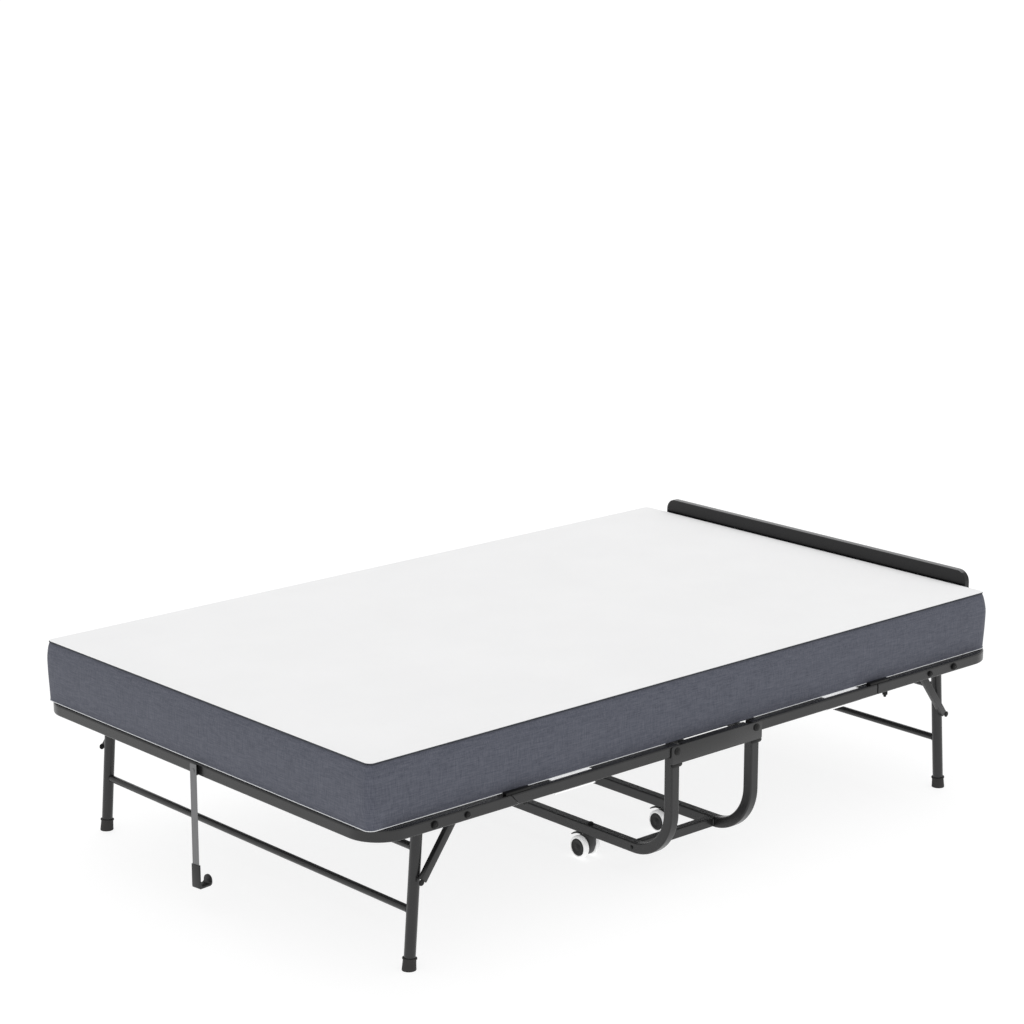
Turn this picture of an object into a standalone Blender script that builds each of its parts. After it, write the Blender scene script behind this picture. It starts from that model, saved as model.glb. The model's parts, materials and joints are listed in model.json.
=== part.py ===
"""Folding rollaway bed on castors, open for use.

Metres, +Z up, +X towards the head of the bed, -Y the near side.  The origin is on the floor under
the middle of the bed.  A narrow trolley stands in the middle on four castors.  A foot half and a
head half are hinged to it and fold up.  Each half has a pair of folding legs with braces.  A strap
with a hook hangs at the foot end and ties the two folded halves together.
"""
import math

import bmesh
import bpy
from mathutils import Vector

# ---------------------------------------------------------------- driving dimensions
GAP = 0.0003                 # running gap between touching pieces
CENTRE_X = 0.00400           # middle of the trolley along the bed
HINGE_OUT = 0.1255           # fold hinges, out from the middle of the trolley
HINGE_Z = 0.3235             # height of the fold hinges, the middle of the rails
FOOT_END = 0.9740            # outer face of the foot tube, out from the middle
HEAD_END = 0.9790            # outer face of the head tube, out from the middle
RAIL_OUT = 0.6066            # outer face of the side rails
TUBE = 0.025                 # square tube of the bed frame
WALL = 0.0015                # wall of every tube
TUBE_CHAMFER = 0.002         # eased edge of the tubes
CORNER_R = 0.080             # outer radius of the frame's corners
FOOT_SEAM_OUT = 0.596        # where the foot rail meets the foot tube
HEAD_SEAM_OUT = 0.540        # where the head rail meets the head tube
RAIL_INNER_END = 0.1175      # inner end of the rails, just past the hinge bolts
BOLT_R = 0.004               # hinge bolts
BOLT_HEAD_R = 0.007
BOLT_HEAD_T = 0.0035

PLATE_T = 0.003              # side plate of the trolley
PLATE_HALF = 0.143
PLATE_Z = (0.294, 0.336)
CENTRE_RAIL_HALF = 0.105

U_TUBE_X = 0.024             # trolley frames: tube along the bed
U_TUBE_Y = 0.025             # trolley frames: tube in the plane of the U
U_TOP_Z = 0.308
U_BOTTOM_Z = 0.057
U_BEND_R = 0.120             # outer bend radius
BASE_BAR_Y = 0.4835          # bars that join the two U frames
BASE_BAR = (0.020, 0.0225)

SLAT_COUNT = 8
SLAT_PITCH = 0.137
SLAT_WIDTH = 0.095
SLAT_T = 0.0012
ANGLE_W = 0.020              # angle bars under the slats
ANGLE_T = 0.0022

LEG_PIVOT_OUT = 0.8155
LEG_Y = 0.552
LEG_R = 0.0125
LEG_TILT = math.radians(4.5)  # feet stand outwards of the pivots
LEG_TOP = 0.010              # leg above its pivot
RUBBER_R = 0.015
RUBBER_H = 0.029
RUBBER_FLOOR = 0.004
CROSSBARS_DOWN = (0.064, 0.198)  # leg cross tubes, down the leg from the pivot
CROSSBAR_R = 0.008

BRACE_PIVOT_OUT = 0.728
BRACE_LENGTH = 0.166
BRACE_ANGLE = math.radians(53.6)  # below level, pointing outwards
BRACE_W = 0.016
BRACE_Y = (0.5670, 0.5795)
BRACE_T = 0.002

SLEEVE_OUT = (0.368, 0.484)
SLEEVE_Y_IN = 0.558

BOARD_T = 0.018
BOARD_HALF = 0.514
BOARD_Z = (0.3363, 0.5155)
BOARD_CORNER_R = 0.028
BOARD_RIM = 0.009
BOARD_SKIN = 0.004
PANEL_T = 0.004

MATTRESS_CENTRE = -0.0055    # relative to the middle of the trolley
MATTRESS_HALF_LENGTH = 0.9640
MATTRESS_HALF_WIDTH = 0.5850
MATTRESS_Z = (0.3366, 0.4805)
MATTRESS_SPLIT_OUT = 0.140   # where the folding halves meet the middle
MATTRESS_CORNER_R = 0.018

LATCH_OUT = 0.9834           # middle of the latch strap, out from the middle
LATCH_Y = -0.0087            # and a little to the near side
LATCH_TURN = math.radians(7)  # the rivet stands askew, so the hook clears the tube as it swings
RIVET_BASE_R = 0.007
RIVET_R = 0.003
RIVET_HEAD_R = 0.0055
STRAP_HALF_W = 0.010
STRAP_T = 0.0016
STRAP_BOTTOM_Z = 0.104
HOOK_HALF_W = 0.012
HOOK_Z = (0.055, 0.110)
HOOK_REACH = 0.0358
HOOK_T = 0.0045
HOOK_TIP_Z = 0.078

CASTOR_Y = 0.338             # swivel stems, out from the middle of the bed
WHEEL_R = 0.0265
WHEEL_X = (0.0085, 0.0255)   # each tyre, out from the middle of the castor
HUB_R = 0.0195
TRAIL = 0.018                # axle behind the stem
AXLE_R = 0.003
FORK_HALF = 0.0075
LEVER_PIVOT = (0.005, 0.0540)  # behind the axle, and height

ROUND = 24                   # sides of a round tube
SMALL_ROUND = 16
BEND_STEPS = 7

SIDES = {"near": -1.0, "far": 1.0}
ENDS = {"foot": -1.0, "head": 1.0}


# ---------------------------------------------------------------- scene, materials and placing
def clear_scene():
    for obj in list(bpy.data.objects):
        bpy.data.objects.remove(obj, do_unlink=True)


def make_material(name, colour, roughness, metallic=0.0):
    material = bpy.data.materials.new(name)
    material.use_nodes = True
    shader = material.node_tree.nodes["Principled BSDF"]
    shader.inputs["Base Color"].default_value = (*colour, 1.0)
    shader.inputs["Roughness"].default_value = roughness
    shader.inputs["Metallic"].default_value = metallic
    return material


def make_empty(name, location, parent=None):
    empty = bpy.data.objects.new(name, None)
    bpy.context.collection.objects.link(empty)
    place(empty, location, parent)
    return empty


def world_location(obj):
    location = Vector(obj.location)
    while obj.parent:
        obj = obj.parent
        location += Vector(obj.location)
    return location


def place(obj, pivot, parent):
    obj.parent = parent
    obj.location = Vector(pivot) - (world_location(parent) if parent else Vector())


def make_object(name, bm, material, pivot=(0, 0, 0), parent=None, smooth=False):
    """Turn world-space geometry into a named object whose origin is at pivot."""
    bmesh.ops.remove_doubles(bm, verts=bm.verts, dist=1e-6)
    bmesh.ops.recalc_face_normals(bm, faces=bm.faces)
    bmesh.ops.translate(bm, verts=bm.verts, vec=-Vector(pivot))
    mesh = bpy.data.meshes.new(name)
    bm.to_mesh(mesh)
    bm.free()
    if smooth:
        mesh.shade_smooth()
        mesh.set_sharp_from_angle(angle=math.radians(35))
    obj = bpy.data.objects.new(name, mesh)
    obj.data.materials.append(material)
    bpy.context.collection.objects.link(obj)
    place(obj, pivot, parent)
    return obj


def boolean(obj, operation, name, bm):
    """Join helper geometry to an object, or cut it away.  The helper stays as a guide."""
    helper = make_object(name, bm, obj.data.materials[0])
    helper.hide_render = True
    helper.display_type = "WIRE"
    modifier = obj.modifiers.new(name, "BOOLEAN")
    modifier.operation = operation
    modifier.solver = "EXACT"
    modifier.object = helper
    return obj


# ---------------------------------------------------------------- geometry
def add_box(bm, low, high):
    corners = [(x, y, z) for x in (low[0], high[0]) for y in (low[1], high[1]) for z in (low[2], high[2])]
    verts = [bm.verts.new(c) for c in corners]
    for face in ((0, 1, 3, 2), (4, 6, 7, 5), (0, 4, 5, 1), (2, 3, 7, 6), (0, 2, 6, 4), (1, 5, 7, 3)):
        bm.faces.new([verts[i] for i in face])


def add_prism(bm, outline, axis, low, high):
    """Extrude a 2-D outline along axis 0, 1 or 2.  The outline holds the other two coordinates."""
    def point(pair, value):
        coords = list(pair)
        coords.insert(axis, value)
        return coords
    ring_low = [bm.verts.new(point(p, low)) for p in outline]
    ring_high = [bm.verts.new(point(p, high)) for p in outline]
    bm.faces.new(ring_low)
    bm.faces.new(ring_high)
    count = len(outline)
    for i in range(count):
        j = (i + 1) % count
        bm.faces.new((ring_low[i], ring_low[j], ring_high[j], ring_high[i]))


def add_loft(bm, rings, inner_rings=None):
    """Skin a list of point rings.  With inner rings the result is an open-ended hollow tube."""
    outer = [[bm.verts.new(p) for p in ring] for ring in rings]
    count = len(rings[0])
    for a, b in zip(outer, outer[1:]):
        for i in range(count):
            j = (i + 1) % count
            bm.faces.new((a[i], a[j], b[j], b[i]))
    if inner_rings is None:
        bm.faces.new(outer[0])
        bm.faces.new(outer[-1])
        return
    inner = [[bm.verts.new(p) for p in ring] for ring in inner_rings]
    for a, b in zip(inner, inner[1:]):
        for i in range(count):
            j = (i + 1) % count
            bm.faces.new((a[i], b[i], b[j], a[j]))
    for end in (0, -1):
        for i in range(count):
            j = (i + 1) % count
            bm.faces.new((outer[end][i], outer[end][j], inner[end][j], inner[end][i]))


def rectangle_section(width, height, chamfer):
    w, h, c = width / 2, height / 2, chamfer
    return [(w - c, -h), (w, -h + c), (w, h - c), (w - c, h), (-w + c, h), (-w, h - c), (-w, -h + c), (-w + c, -h)]


def circle_section(radius, sides):
    return [(radius * math.cos(2 * math.pi * i / sides), radius * math.sin(2 * math.pi * i / sides))
            for i in range(sides)]


def stations(path, normal):
    """Frames along a flat path: the point, the mitred in-plane direction and the plane's normal."""
    normal = Vector(normal)
    points = [Vector(p) for p in path]
    frames = []
    for i, point in enumerate(points):
        before = (point - points[i - 1]).normalized() if i else None
        after = (points[i + 1] - point).normalized() if i + 1 < len(points) else None
        tangent = ((before or after) + (after or before)).normalized()
        stretch = 1.0 / tangent.dot(before or after)
        frames.append((point, normal.cross(tangent) * stretch, normal))
    return frames


def add_tube(bm, path, normal, section, inner=None):
    frames = stations(path, normal)
    rings = [[p + u * a + v * b for a, b in section] for p, u, v in frames]
    inner_rings = [[p + u * a + v * b for a, b in inner] for p, u, v in frames] if inner else None
    add_loft(bm, rings, inner_rings)


def add_round(bm, start, end, radius, sides=ROUND, inner_radius=None):
    """A cylinder or, with an inner radius, an open pipe between two points."""
    start, end = Vector(start), Vector(end)
    axis = (end - start).normalized()
    side = axis.orthogonal().normalized()
    other = axis.cross(side)

    def ring(centre, r):
        return [centre + side * a + other * b for a, b in circle_section(r, sides)]
    inner = [ring(start, inner_radius), ring(end, inner_radius)] if inner_radius else None
    add_loft(bm, [ring(start, radius), ring(end, radius)], inner)


def add_turned(bm, profile, centre, sides):
    """Turn a profile of (distance along X, radius) round the X axis through centre."""
    rings = []
    for x, radius in profile:
        rings.append([Vector((centre[0] + x, centre[1] + a, centre[2] + b))
                      for a, b in circle_section(radius, sides)])
    add_loft(bm, rings)


def arc(centre, radius, start, end, steps):
    """Points on an arc in the plane, angles in degrees."""
    angles = [math.radians(start + (end - start) * i / steps) for i in range(steps + 1)]
    return [(centre[0] + radius * math.cos(a), centre[1] + radius * math.sin(a)) for a in angles]


def bed_x(end, out):
    """World X of a point at the foot or head side, out from the middle of the trolley."""
    return CENTRE_X + ENDS[end] * out


def end_face(end):
    return FOOT_END if end == "foot" else HEAD_END


def seam(end):
    return FOOT_SEAM_OUT if end == "foot" else HEAD_SEAM_OUT


def fold_pivot(end):
    return (bed_x(end, HINGE_OUT), 0.0, HINGE_Z)


def leg_pivot(end):
    return (bed_x(end, LEG_PIVOT_OUT), 0.0, HINGE_Z)


def leg_point(end, down):
    """A point down the leg's centre line from its pivot, as X and Z."""
    return (bed_x(end, LEG_PIVOT_OUT + down * math.sin(LEG_TILT)), HINGE_Z - down * math.cos(LEG_TILT))


# ---------------------------------------------------------------- trolley in the middle
def hinge_holes():
    bm = bmesh.new()
    for end in ENDS:
        for side in SIDES.values():
            x = bed_x(end, HINGE_OUT)
            add_round(bm, (x, side * 0.56, HINGE_Z), (x, side * 0.63, HINGE_Z), BOLT_R + GAP, SMALL_ROUND)
    return bm


def build_centre_rail(name, side, metal):
    """Side plate that carries the fold bolts, with the short rail welded inside it."""
    bm = bmesh.new()
    outer = RAIL_OUT + GAP + PLATE_T
    low, high = PLATE_Z
    rail_low = HINGE_Z - TUBE / 2
    inside = RAIL_OUT - 0.020
    span = CENTRE_RAIL_HALF
    plate = [(-PLATE_HALF, low), (PLATE_HALF, low), (PLATE_HALF, high - 0.006), (PLATE_HALF - 0.006, high),
             (-PLATE_HALF + 0.006, high), (-PLATE_HALF, high - 0.006)]
    faces = sorted((side * outer, side * (outer - PLATE_T)))
    add_prism(bm, [(CENTRE_X + x, z) for x, z in plate], 1, *faces)
    obj = make_object(name, bm, metal)
    bm = bmesh.new()
    depth = sorted((side * inside, side * (outer - PLATE_T / 2)))
    add_box(bm, (CENTRE_X - span, depth[0], rail_low), (CENTRE_X + span, depth[1], high - 0.0004))
    boolean(obj, "UNION", name + "_web_guide", bm)
    boolean(obj, "DIFFERENCE", name + "_hole_guide", hinge_holes())
    return obj


def build_fold_bolt(name, end, side, metal):
    bm = bmesh.new()
    x = bed_x(end, HINGE_OUT)
    head = side * (RAIL_OUT + GAP + PLATE_T + GAP)
    profile = [(side * 0.5785, BOLT_R), (head, BOLT_R), (head, BOLT_HEAD_R),
               (head + side * BOLT_HEAD_T * 0.6, BOLT_HEAD_R), (head + side * BOLT_HEAD_T, BOLT_HEAD_R * 0.6)]
    rings = [[Vector((x + a, y, HINGE_Z + b)) for a, b in circle_section(r, SMALL_ROUND)] for y, r in profile]
    add_loft(bm, rings)
    return make_object(name, bm, metal, smooth=True)


def u_frame_path(x):
    half = RAIL_OUT - U_TUBE_Y / 2
    low = U_BOTTOM_Z + U_TUBE_Y / 2
    radius = U_BEND_R - U_TUBE_Y / 2
    left = arc((-half + radius, low + radius), radius, 180, 270, BEND_STEPS)
    right = arc((half - radius, low + radius), radius, 270, 360, BEND_STEPS)
    return [(x, y, z) for y, z in [(-half, U_TOP_Z), *left, *right, (half, U_TOP_Z)]]


def build_u_frame(name, end, metal):
    bm = bmesh.new()
    section = rectangle_section(U_TUBE_Y, U_TUBE_X, TUBE_CHAMFER)
    inner = rectangle_section(U_TUBE_Y - 2 * WALL, U_TUBE_X - 2 * WALL, TUBE_CHAMFER / 2)
    add_tube(bm, u_frame_path(bed_x(end, HINGE_OUT + 0.0005)), (1, 0, 0), section, inner)
    return make_object(name, bm, metal)


def build_base_bar(name, side, metal):
    bm = bmesh.new()
    reach = HINGE_OUT + 0.0005 - U_TUBE_X / 2 - GAP
    centre_z = U_BOTTOM_Z + 0.002 + BASE_BAR[1] / 2
    path = [(CENTRE_X - reach, side * BASE_BAR_Y, centre_z), (CENTRE_X + reach, side * BASE_BAR_Y, centre_z)]
    section = rectangle_section(*BASE_BAR, TUBE_CHAMFER)
    inner = rectangle_section(BASE_BAR[0] - 2 * WALL, BASE_BAR[1] - 2 * WALL, TUBE_CHAMFER / 2)
    add_tube(bm, path, (0, 0, 1), section, inner)
    return make_object(name, bm, metal)


# ---------------------------------------------------------------- slatted decks
def slat_ys():
    first = -SLAT_PITCH * (SLAT_COUNT - 1) / 2
    return [first + SLAT_PITCH * i for i in range(SLAT_COUNT)]


def build_deck(name, x_low, x_high, bars, half_width, metal, pivot=(0, 0, 0), parent=None):
    """Angle bars across the bed with thin slats along it.  bars lists (web X, flange direction)."""
    top = HINGE_Z + TUBE / 2
    bm = bmesh.new()
    for web_x, flange in bars:
        tip = web_x + flange * ANGLE_W
        wall = web_x + flange * ANGLE_T
        low = top - ANGLE_W
        high = top - SLAT_T / 2
        outline = [(web_x, low), (wall, low), (wall, high - ANGLE_T), (tip, high - ANGLE_T), (tip, high),
                   (web_x, high)]
        add_prism(bm, outline, 1, -half_width, half_width)
    obj = make_object(name, bm, metal, pivot, parent)
    bm = bmesh.new()
    for y in slat_ys():
        add_box(bm, (x_low, y - SLAT_WIDTH / 2, top - SLAT_T), (x_high, y + SLAT_WIDTH / 2, top))
    return boolean(obj, "UNION", name + "_slat_guide", bm)


def build_centre_deck(metal):
    half = RAIL_OUT - 0.020 - GAP
    reach = 0.100
    bars = [(CENTRE_X - reach, 1), (CENTRE_X + reach, -1)]
    return build_deck("center_deck", CENTRE_X - reach, CENTRE_X + reach, bars, half, metal)


# ---------------------------------------------------------------- folding halves
def tube_sections():
    outer = rectangle_section(TUBE, TUBE, TUBE_CHAMFER)
    inner = rectangle_section(TUBE - 2 * WALL, TUBE - 2 * WALL, TUBE_CHAMFER / 2)
    return outer, inner


def build_end_tube(end, metal, parent):
    """The bent tube round the end of the bed, from seam to seam."""
    line = RAIL_OUT - TUBE / 2
    radius = CORNER_R - TUBE / 2
    centre_out = end_face(end) - CORNER_R
    near = arc((centre_out, -line + radius), radius, 270, 360, BEND_STEPS)
    far = arc((centre_out, line - radius), radius, 0, 90, BEND_STEPS)
    start = seam(end) + GAP / 2
    flat = [(start, -line), *near, *far, (start, line)]
    bm = bmesh.new()
    add_tube(bm, [(bed_x(end, out), y, HINGE_Z) for out, y in flat], (0, 0, 1), *tube_sections())
    return make_object(end + "_end_tube", bm, metal, fold_pivot(end), parent)


def build_rail(end, side_name, metal, parent):
    side = SIDES[side_name]
    line = side * (RAIL_OUT - TUBE / 2)
    bm = bmesh.new()
    path = [(bed_x(end, out), line, HINGE_Z) for out in (RAIL_INNER_END, seam(end) - GAP / 2)]
    add_tube(bm, path, (0, 0, 1), *tube_sections())
    name = "{}_rail_{}".format(end, side_name)
    obj = make_object(name, bm, metal, fold_pivot(end), parent)
    return boolean(obj, "DIFFERENCE", name + "_hole_guide", hinge_holes())


def build_half_decks(end, metal, parent):
    half = RAIL_OUT - TUBE - GAP
    sign = ENDS[end]
    outer_end = end_face(end) - TUBE - 2 * GAP
    spans = {
        "end": (0.600, outer_end, [(0.600, 1), (0.857, -1)]),
        "mid": (0.190, 0.525, [(0.190, 1), (0.345, 1), (0.525, -1)]),
    }
    for part, (inner_out, outer_out, bars) in spans.items():
        xs = sorted((bed_x(end, inner_out), bed_x(end, outer_out)))
        bar_list = [(bed_x(end, out), sign * direction) for out, direction in bars]
        build_deck("{}_{}_deck".format(end, part), *xs, bar_list, half, metal, fold_pivot(end), parent)


def build_sleeve(end, side_name, plastic, parent):
    """Plastic sleeve that clips on the inner and lower sides of a rail."""
    side = SIDES[side_name]
    rail_in = RAIL_OUT - TUBE - GAP
    low = HINGE_Z - TUBE / 2 - GAP
    high = HINGE_Z + TUBE / 2 + GAP
    outline = [(SLEEVE_Y_IN, low - 0.0025), (RAIL_OUT - 0.001, low - 0.0025), (RAIL_OUT - 0.001, low),
               (rail_in, low), (rail_in, high), (SLEEVE_Y_IN, high)]
    bm = bmesh.new()
    xs = sorted(bed_x(end, out) for out in SLEEVE_OUT)
    add_prism(bm, [(side * y, z) for y, z in outline], 0, *xs)
    return make_object("{}_sleeve_{}".format(end, side_name), bm, plastic, fold_pivot(end), parent)


def rounded_block(x_low, x_high, half_width, round_low, round_high, radius):
    """Outline of a mattress piece seen from above, rounded at the ends that are free."""
    points = []
    if round_high:
        points += arc((x_high - radius, half_width - radius), radius, 90, 0, 4)
        points += arc((x_high - radius, -half_width + radius), radius, 0, -90, 4)
    else:
        points += [(x_high, half_width), (x_high, -half_width)]
    if round_low:
        points += arc((x_low + radius, -half_width + radius), radius, 270, 180, 4)
        points += arc((x_low + radius, half_width - radius), radius, 180, 90, 4)
    else:
        points += [(x_low, -half_width), (x_low, half_width)]
    return points


def build_mattress(fabric, folds):
    """Four foam blocks end to end: one on each half and two over the trolley."""
    middle = CENTRE_X + MATTRESS_CENTRE
    low_end = middle - MATTRESS_HALF_LENGTH
    high_end = middle + MATTRESS_HALF_LENGTH
    foot_split = bed_x("foot", MATTRESS_SPLIT_OUT)
    head_split = bed_x("head", MATTRESS_SPLIT_OUT)
    blocks = {
        "mattress_foot": (low_end, foot_split - GAP, True, False, "foot"),
        "mattress_mid_foot": (foot_split, CENTRE_X - GAP, False, False, None),
        "mattress_mid_head": (CENTRE_X, head_split - GAP, False, False, None),
        "mattress_head": (head_split, high_end, False, True, "head"),
    }
    for name, (x_low, x_high, round_low, round_high, end) in blocks.items():
        bm = bmesh.new()
        outline = rounded_block(x_low, x_high, MATTRESS_HALF_WIDTH, round_low, round_high, MATTRESS_CORNER_R)
        add_prism(bm, outline, 2, *MATTRESS_Z)
        pivot = fold_pivot(end) if end else (0, 0, 0)
        make_object(name, bm, fabric, pivot, folds[end] if end else None)


def board_outline(inset):
    """Headboard seen along the bed, with rounded upper corners."""
    half = BOARD_HALF - inset
    low, high = BOARD_Z[0] + inset, BOARD_Z[1] - inset
    radius = BOARD_CORNER_R - inset
    right = arc((half - radius, high - radius), radius, 0, 90, 5)
    left = arc((-half + radius, high - radius), radius, 90, 180, 5)
    return [(-half, low), (half, low), *right, *left]


def build_headboard(black, grey, parent):
    back = bed_x("head", HEAD_END)
    front = back - BOARD_T
    pivot = fold_pivot("head")
    bm = bmesh.new()
    add_prism(bm, board_outline(0.0), 0, front, back)
    frame = make_object("headboard_frame", bm, black, pivot, parent)
    bm = bmesh.new()
    add_prism(bm, board_outline(BOARD_RIM), 0, front + BOARD_SKIN, back + 0.01)
    boolean(frame, "DIFFERENCE", "headboard_recess_guide", bm)
    bm = bmesh.new()
    start = front + BOARD_SKIN + GAP
    add_prism(bm, board_outline(BOARD_RIM + GAP), 0, start, start + PANEL_T)
    make_object("headboard_panel", bm, grey, pivot, parent)


# ---------------------------------------------------------------- legs and braces
def build_legs(end, metal, rubber, fold):
    """The welded frame of two legs and two cross tubes, with a rubber foot on each leg."""
    pivot = leg_pivot(end)
    hinge = make_empty(end + "_legs_axis", pivot, fold)
    length = HINGE_Z / math.cos(LEG_TILT)
    tube_bottom = length - RUBBER_FLOOR - GAP - LEG_R * math.tan(LEG_TILT)
    rail_face = RAIL_OUT - TUBE - GAP
    low_x, low_z = leg_point(end, tube_bottom)
    top_x, top_z = leg_point(end, -LEG_TOP)
    frame = None
    for side_name, side in SIDES.items():
        y = side * LEG_Y
        bm = bmesh.new()
        add_round(bm, (top_x, y, top_z), (low_x, y, low_z), LEG_R, ROUND, LEG_R - WALL)
        if frame is None:
            frame = make_object(end + "_leg_frame", bm, metal, pivot, hinge, smooth=True)
        else:
            bars = bmesh.new()
            for down in CROSSBARS_DOWN:
                x, z = leg_point(end, down)
                half = LEG_Y - LEG_R + 0.004
                add_round(bars, (x, -half, z), (x, half, z), CROSSBAR_R)
            boolean(frame, "UNION", end + "_crossbars_guide", bars)
            boolean(frame, "UNION", end + "_far_leg_guide", bm)
        build_rubber_foot(end, side_name, y, rubber, pivot, hinge)
    for side_name, side in SIDES.items():
        bm = bmesh.new()
        start_y = side * (LEG_Y + LEG_R - WALL / 2 - 0.0004)
        add_round(bm, (pivot[0], start_y, HINGE_Z), (pivot[0], side * rail_face, HINGE_Z), 0.0075, SMALL_ROUND)
        boolean(frame, "UNION", "{}_{}_spacer_guide".format(end, side_name), bm)


def build_rubber_foot(end, side_name, y, rubber, pivot, hinge):
    """A cup pushed over the end of the leg, cut level with the floor."""
    length = HINGE_Z / math.cos(LEG_TILT)
    inner_bottom = length - RUBBER_FLOOR - LEG_R * math.tan(LEG_TILT)
    top_x, top_z = leg_point(end, length - RUBBER_H)
    axis = Vector((leg_point(end, 1.0)[0] - leg_point(end, 0.0)[0], 0, -math.cos(LEG_TILT)))
    across = Vector((-axis.z, 0, axis.x))

    def ring(radius, centre):
        return [centre + across * a + Vector((0, b, 0)) for a, b in circle_section(radius, ROUND)]

    def drop(point):
        return point + axis * (-point.z / axis.z)
    top = Vector((top_x, y, top_z))
    in_x, in_z = leg_point(end, inner_bottom)
    inner_radius = LEG_R + GAP
    outer_top = ring(RUBBER_R, top)
    outer_low = [drop(p) for p in ring(RUBBER_R, top)]
    inner_top = ring(inner_radius, top)
    inner_low = ring(inner_radius, Vector((in_x, y, in_z)))
    bm = bmesh.new()
    add_loft(bm, [outer_low, outer_top, inner_top, inner_low])
    make_object("{}_rubber_{}".format(end, side_name), bm, rubber, pivot, hinge, smooth=True)


def build_brace(end, side_name, metal, fold):
    """Channel brace on a rail bolt, pointing down and outwards to the leg."""
    side = SIDES[side_name]
    sign = ENDS[end]
    pivot = Vector((bed_x(end, BRACE_PIVOT_OUT), 0, HINGE_Z))
    along = Vector((sign * math.cos(BRACE_ANGLE), 0, -math.sin(BRACE_ANGLE)))
    across = Vector((-along.z, 0, along.x))
    web_in, web_out = BRACE_Y[1] - BRACE_T, BRACE_Y[1]
    half = BRACE_W / 2
    channel = [(-half, BRACE_Y[0]), (-half + BRACE_T, BRACE_Y[0]), (-half + BRACE_T, web_in),
               (half - BRACE_T, web_in), (half - BRACE_T, BRACE_Y[0]), (half, BRACE_Y[0]), (half, web_out),
               (-half, web_out)]
    bm = bmesh.new()
    rings = []
    for distance in (-0.008, BRACE_LENGTH):
        centre = pivot + along * distance
        rings.append([centre + across * a + Vector((0, side * y, 0)) for a, y in channel])
    add_loft(bm, rings)
    return make_object("{}_brace_{}".format(end, side_name), bm, metal, pivot, fold)


# ---------------------------------------------------------------- latch at the foot end
def latch_frame():
    """Pin point, pin direction and the sideways direction of the latch."""
    origin = Vector((bed_x("foot", LATCH_OUT), LATCH_Y, HINGE_Z))
    pin = Vector((math.cos(LATCH_TURN), math.sin(LATCH_TURN), 0.0))
    side = Vector((-pin.y, pin.x, 0.0))
    return origin, pin, side


def latch_block(name, bm_faces, material, swing):
    """Extrude an outline given as (along the pin, height) across the latch."""
    outline, half_width = bm_faces
    origin, pin, side = latch_frame()
    rings = [[origin + pin * a + Vector((0, 0, z - HINGE_Z)) + side * b for a, z in outline]
             for b in (-half_width, half_width)]
    bm = bmesh.new()
    add_loft(bm, rings)
    if name.endswith("_guide"):
        return bm
    return make_object(name, bm, material, origin, swing)


def build_latch_rivet(metal, fold):
    """Round stand-off on the tube, with the rivet that the strap swings on."""
    origin, pin, side = latch_frame()
    face_x = bed_x("foot", FOOT_END) - GAP
    inner = STRAP_T / 2 + GAP
    steps = [(inner, RIVET_BASE_R), (inner, RIVET_R), (-inner, RIVET_R), (-inner, RIVET_HEAD_R),
             (-inner - 0.0008, RIVET_HEAD_R), (-inner - 0.0014, RIVET_HEAD_R * 0.7)]
    rings = []
    for along, radius in steps:
        centre = origin + pin * along
        rings.append([centre + side * a + Vector((0, 0, b)) for a, b in circle_section(radius, SMALL_ROUND)])
    on_tube = [p + pin * ((face_x - p.x) / pin.x) for p in rings[0]]
    bm = bmesh.new()
    add_loft(bm, [on_tube, *rings])
    make_object("latch_rivet", bm, metal, fold_pivot("foot"), fold)


def build_latch(metal, steel, plastic, fold):
    origin, pin, side = latch_frame()
    build_latch_rivet(metal, fold)
    swing = make_empty("latch_axis", origin, fold)
    half_t = STRAP_T / 2
    top = HINGE_Z + STRAP_HALF_W
    blade = [(-half_t, STRAP_BOTTOM_Z), (half_t, STRAP_BOTTOM_Z), (half_t, top), (-half_t, top)]
    strap = latch_block("latch_strap", (blade, STRAP_HALF_W), steel, swing)
    bm = bmesh.new()
    add_round(bm, origin - pin * 0.01, origin + pin * 0.01, RIVET_R + GAP, SMALL_ROUND)
    boolean(strap, "DIFFERENCE", "latch_hole_guide", bm)

    low, high = HOOK_Z
    reach = HOOK_REACH
    outline = [(-0.0022, low + 0.002), (-0.0002, low), (reach - 0.002, low), (reach, low + 0.002),
               (reach, HOOK_TIP_Z - 0.001), (reach - 0.001, HOOK_TIP_Z), (reach - 0.0040, HOOK_TIP_Z - 0.004),
               (reach - 0.0040, low + HOOK_T), (0.0024, low + HOOK_T), (0.0024, high), (-0.0022, high)]
    hook = latch_block("latch_hook", (outline, HOOK_HALF_W), plastic, swing)
    slot = half_t + GAP
    cut = [(-slot, STRAP_BOTTOM_Z - GAP), (slot, STRAP_BOTTOM_Z - GAP), (slot, high + 0.01), (-slot, high + 0.01)]
    bm = latch_block("latch_slot_guide", (cut, STRAP_HALF_W + GAP), plastic, swing)
    boolean(hook, "DIFFERENCE", "latch_slot_guide", bm)


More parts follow.
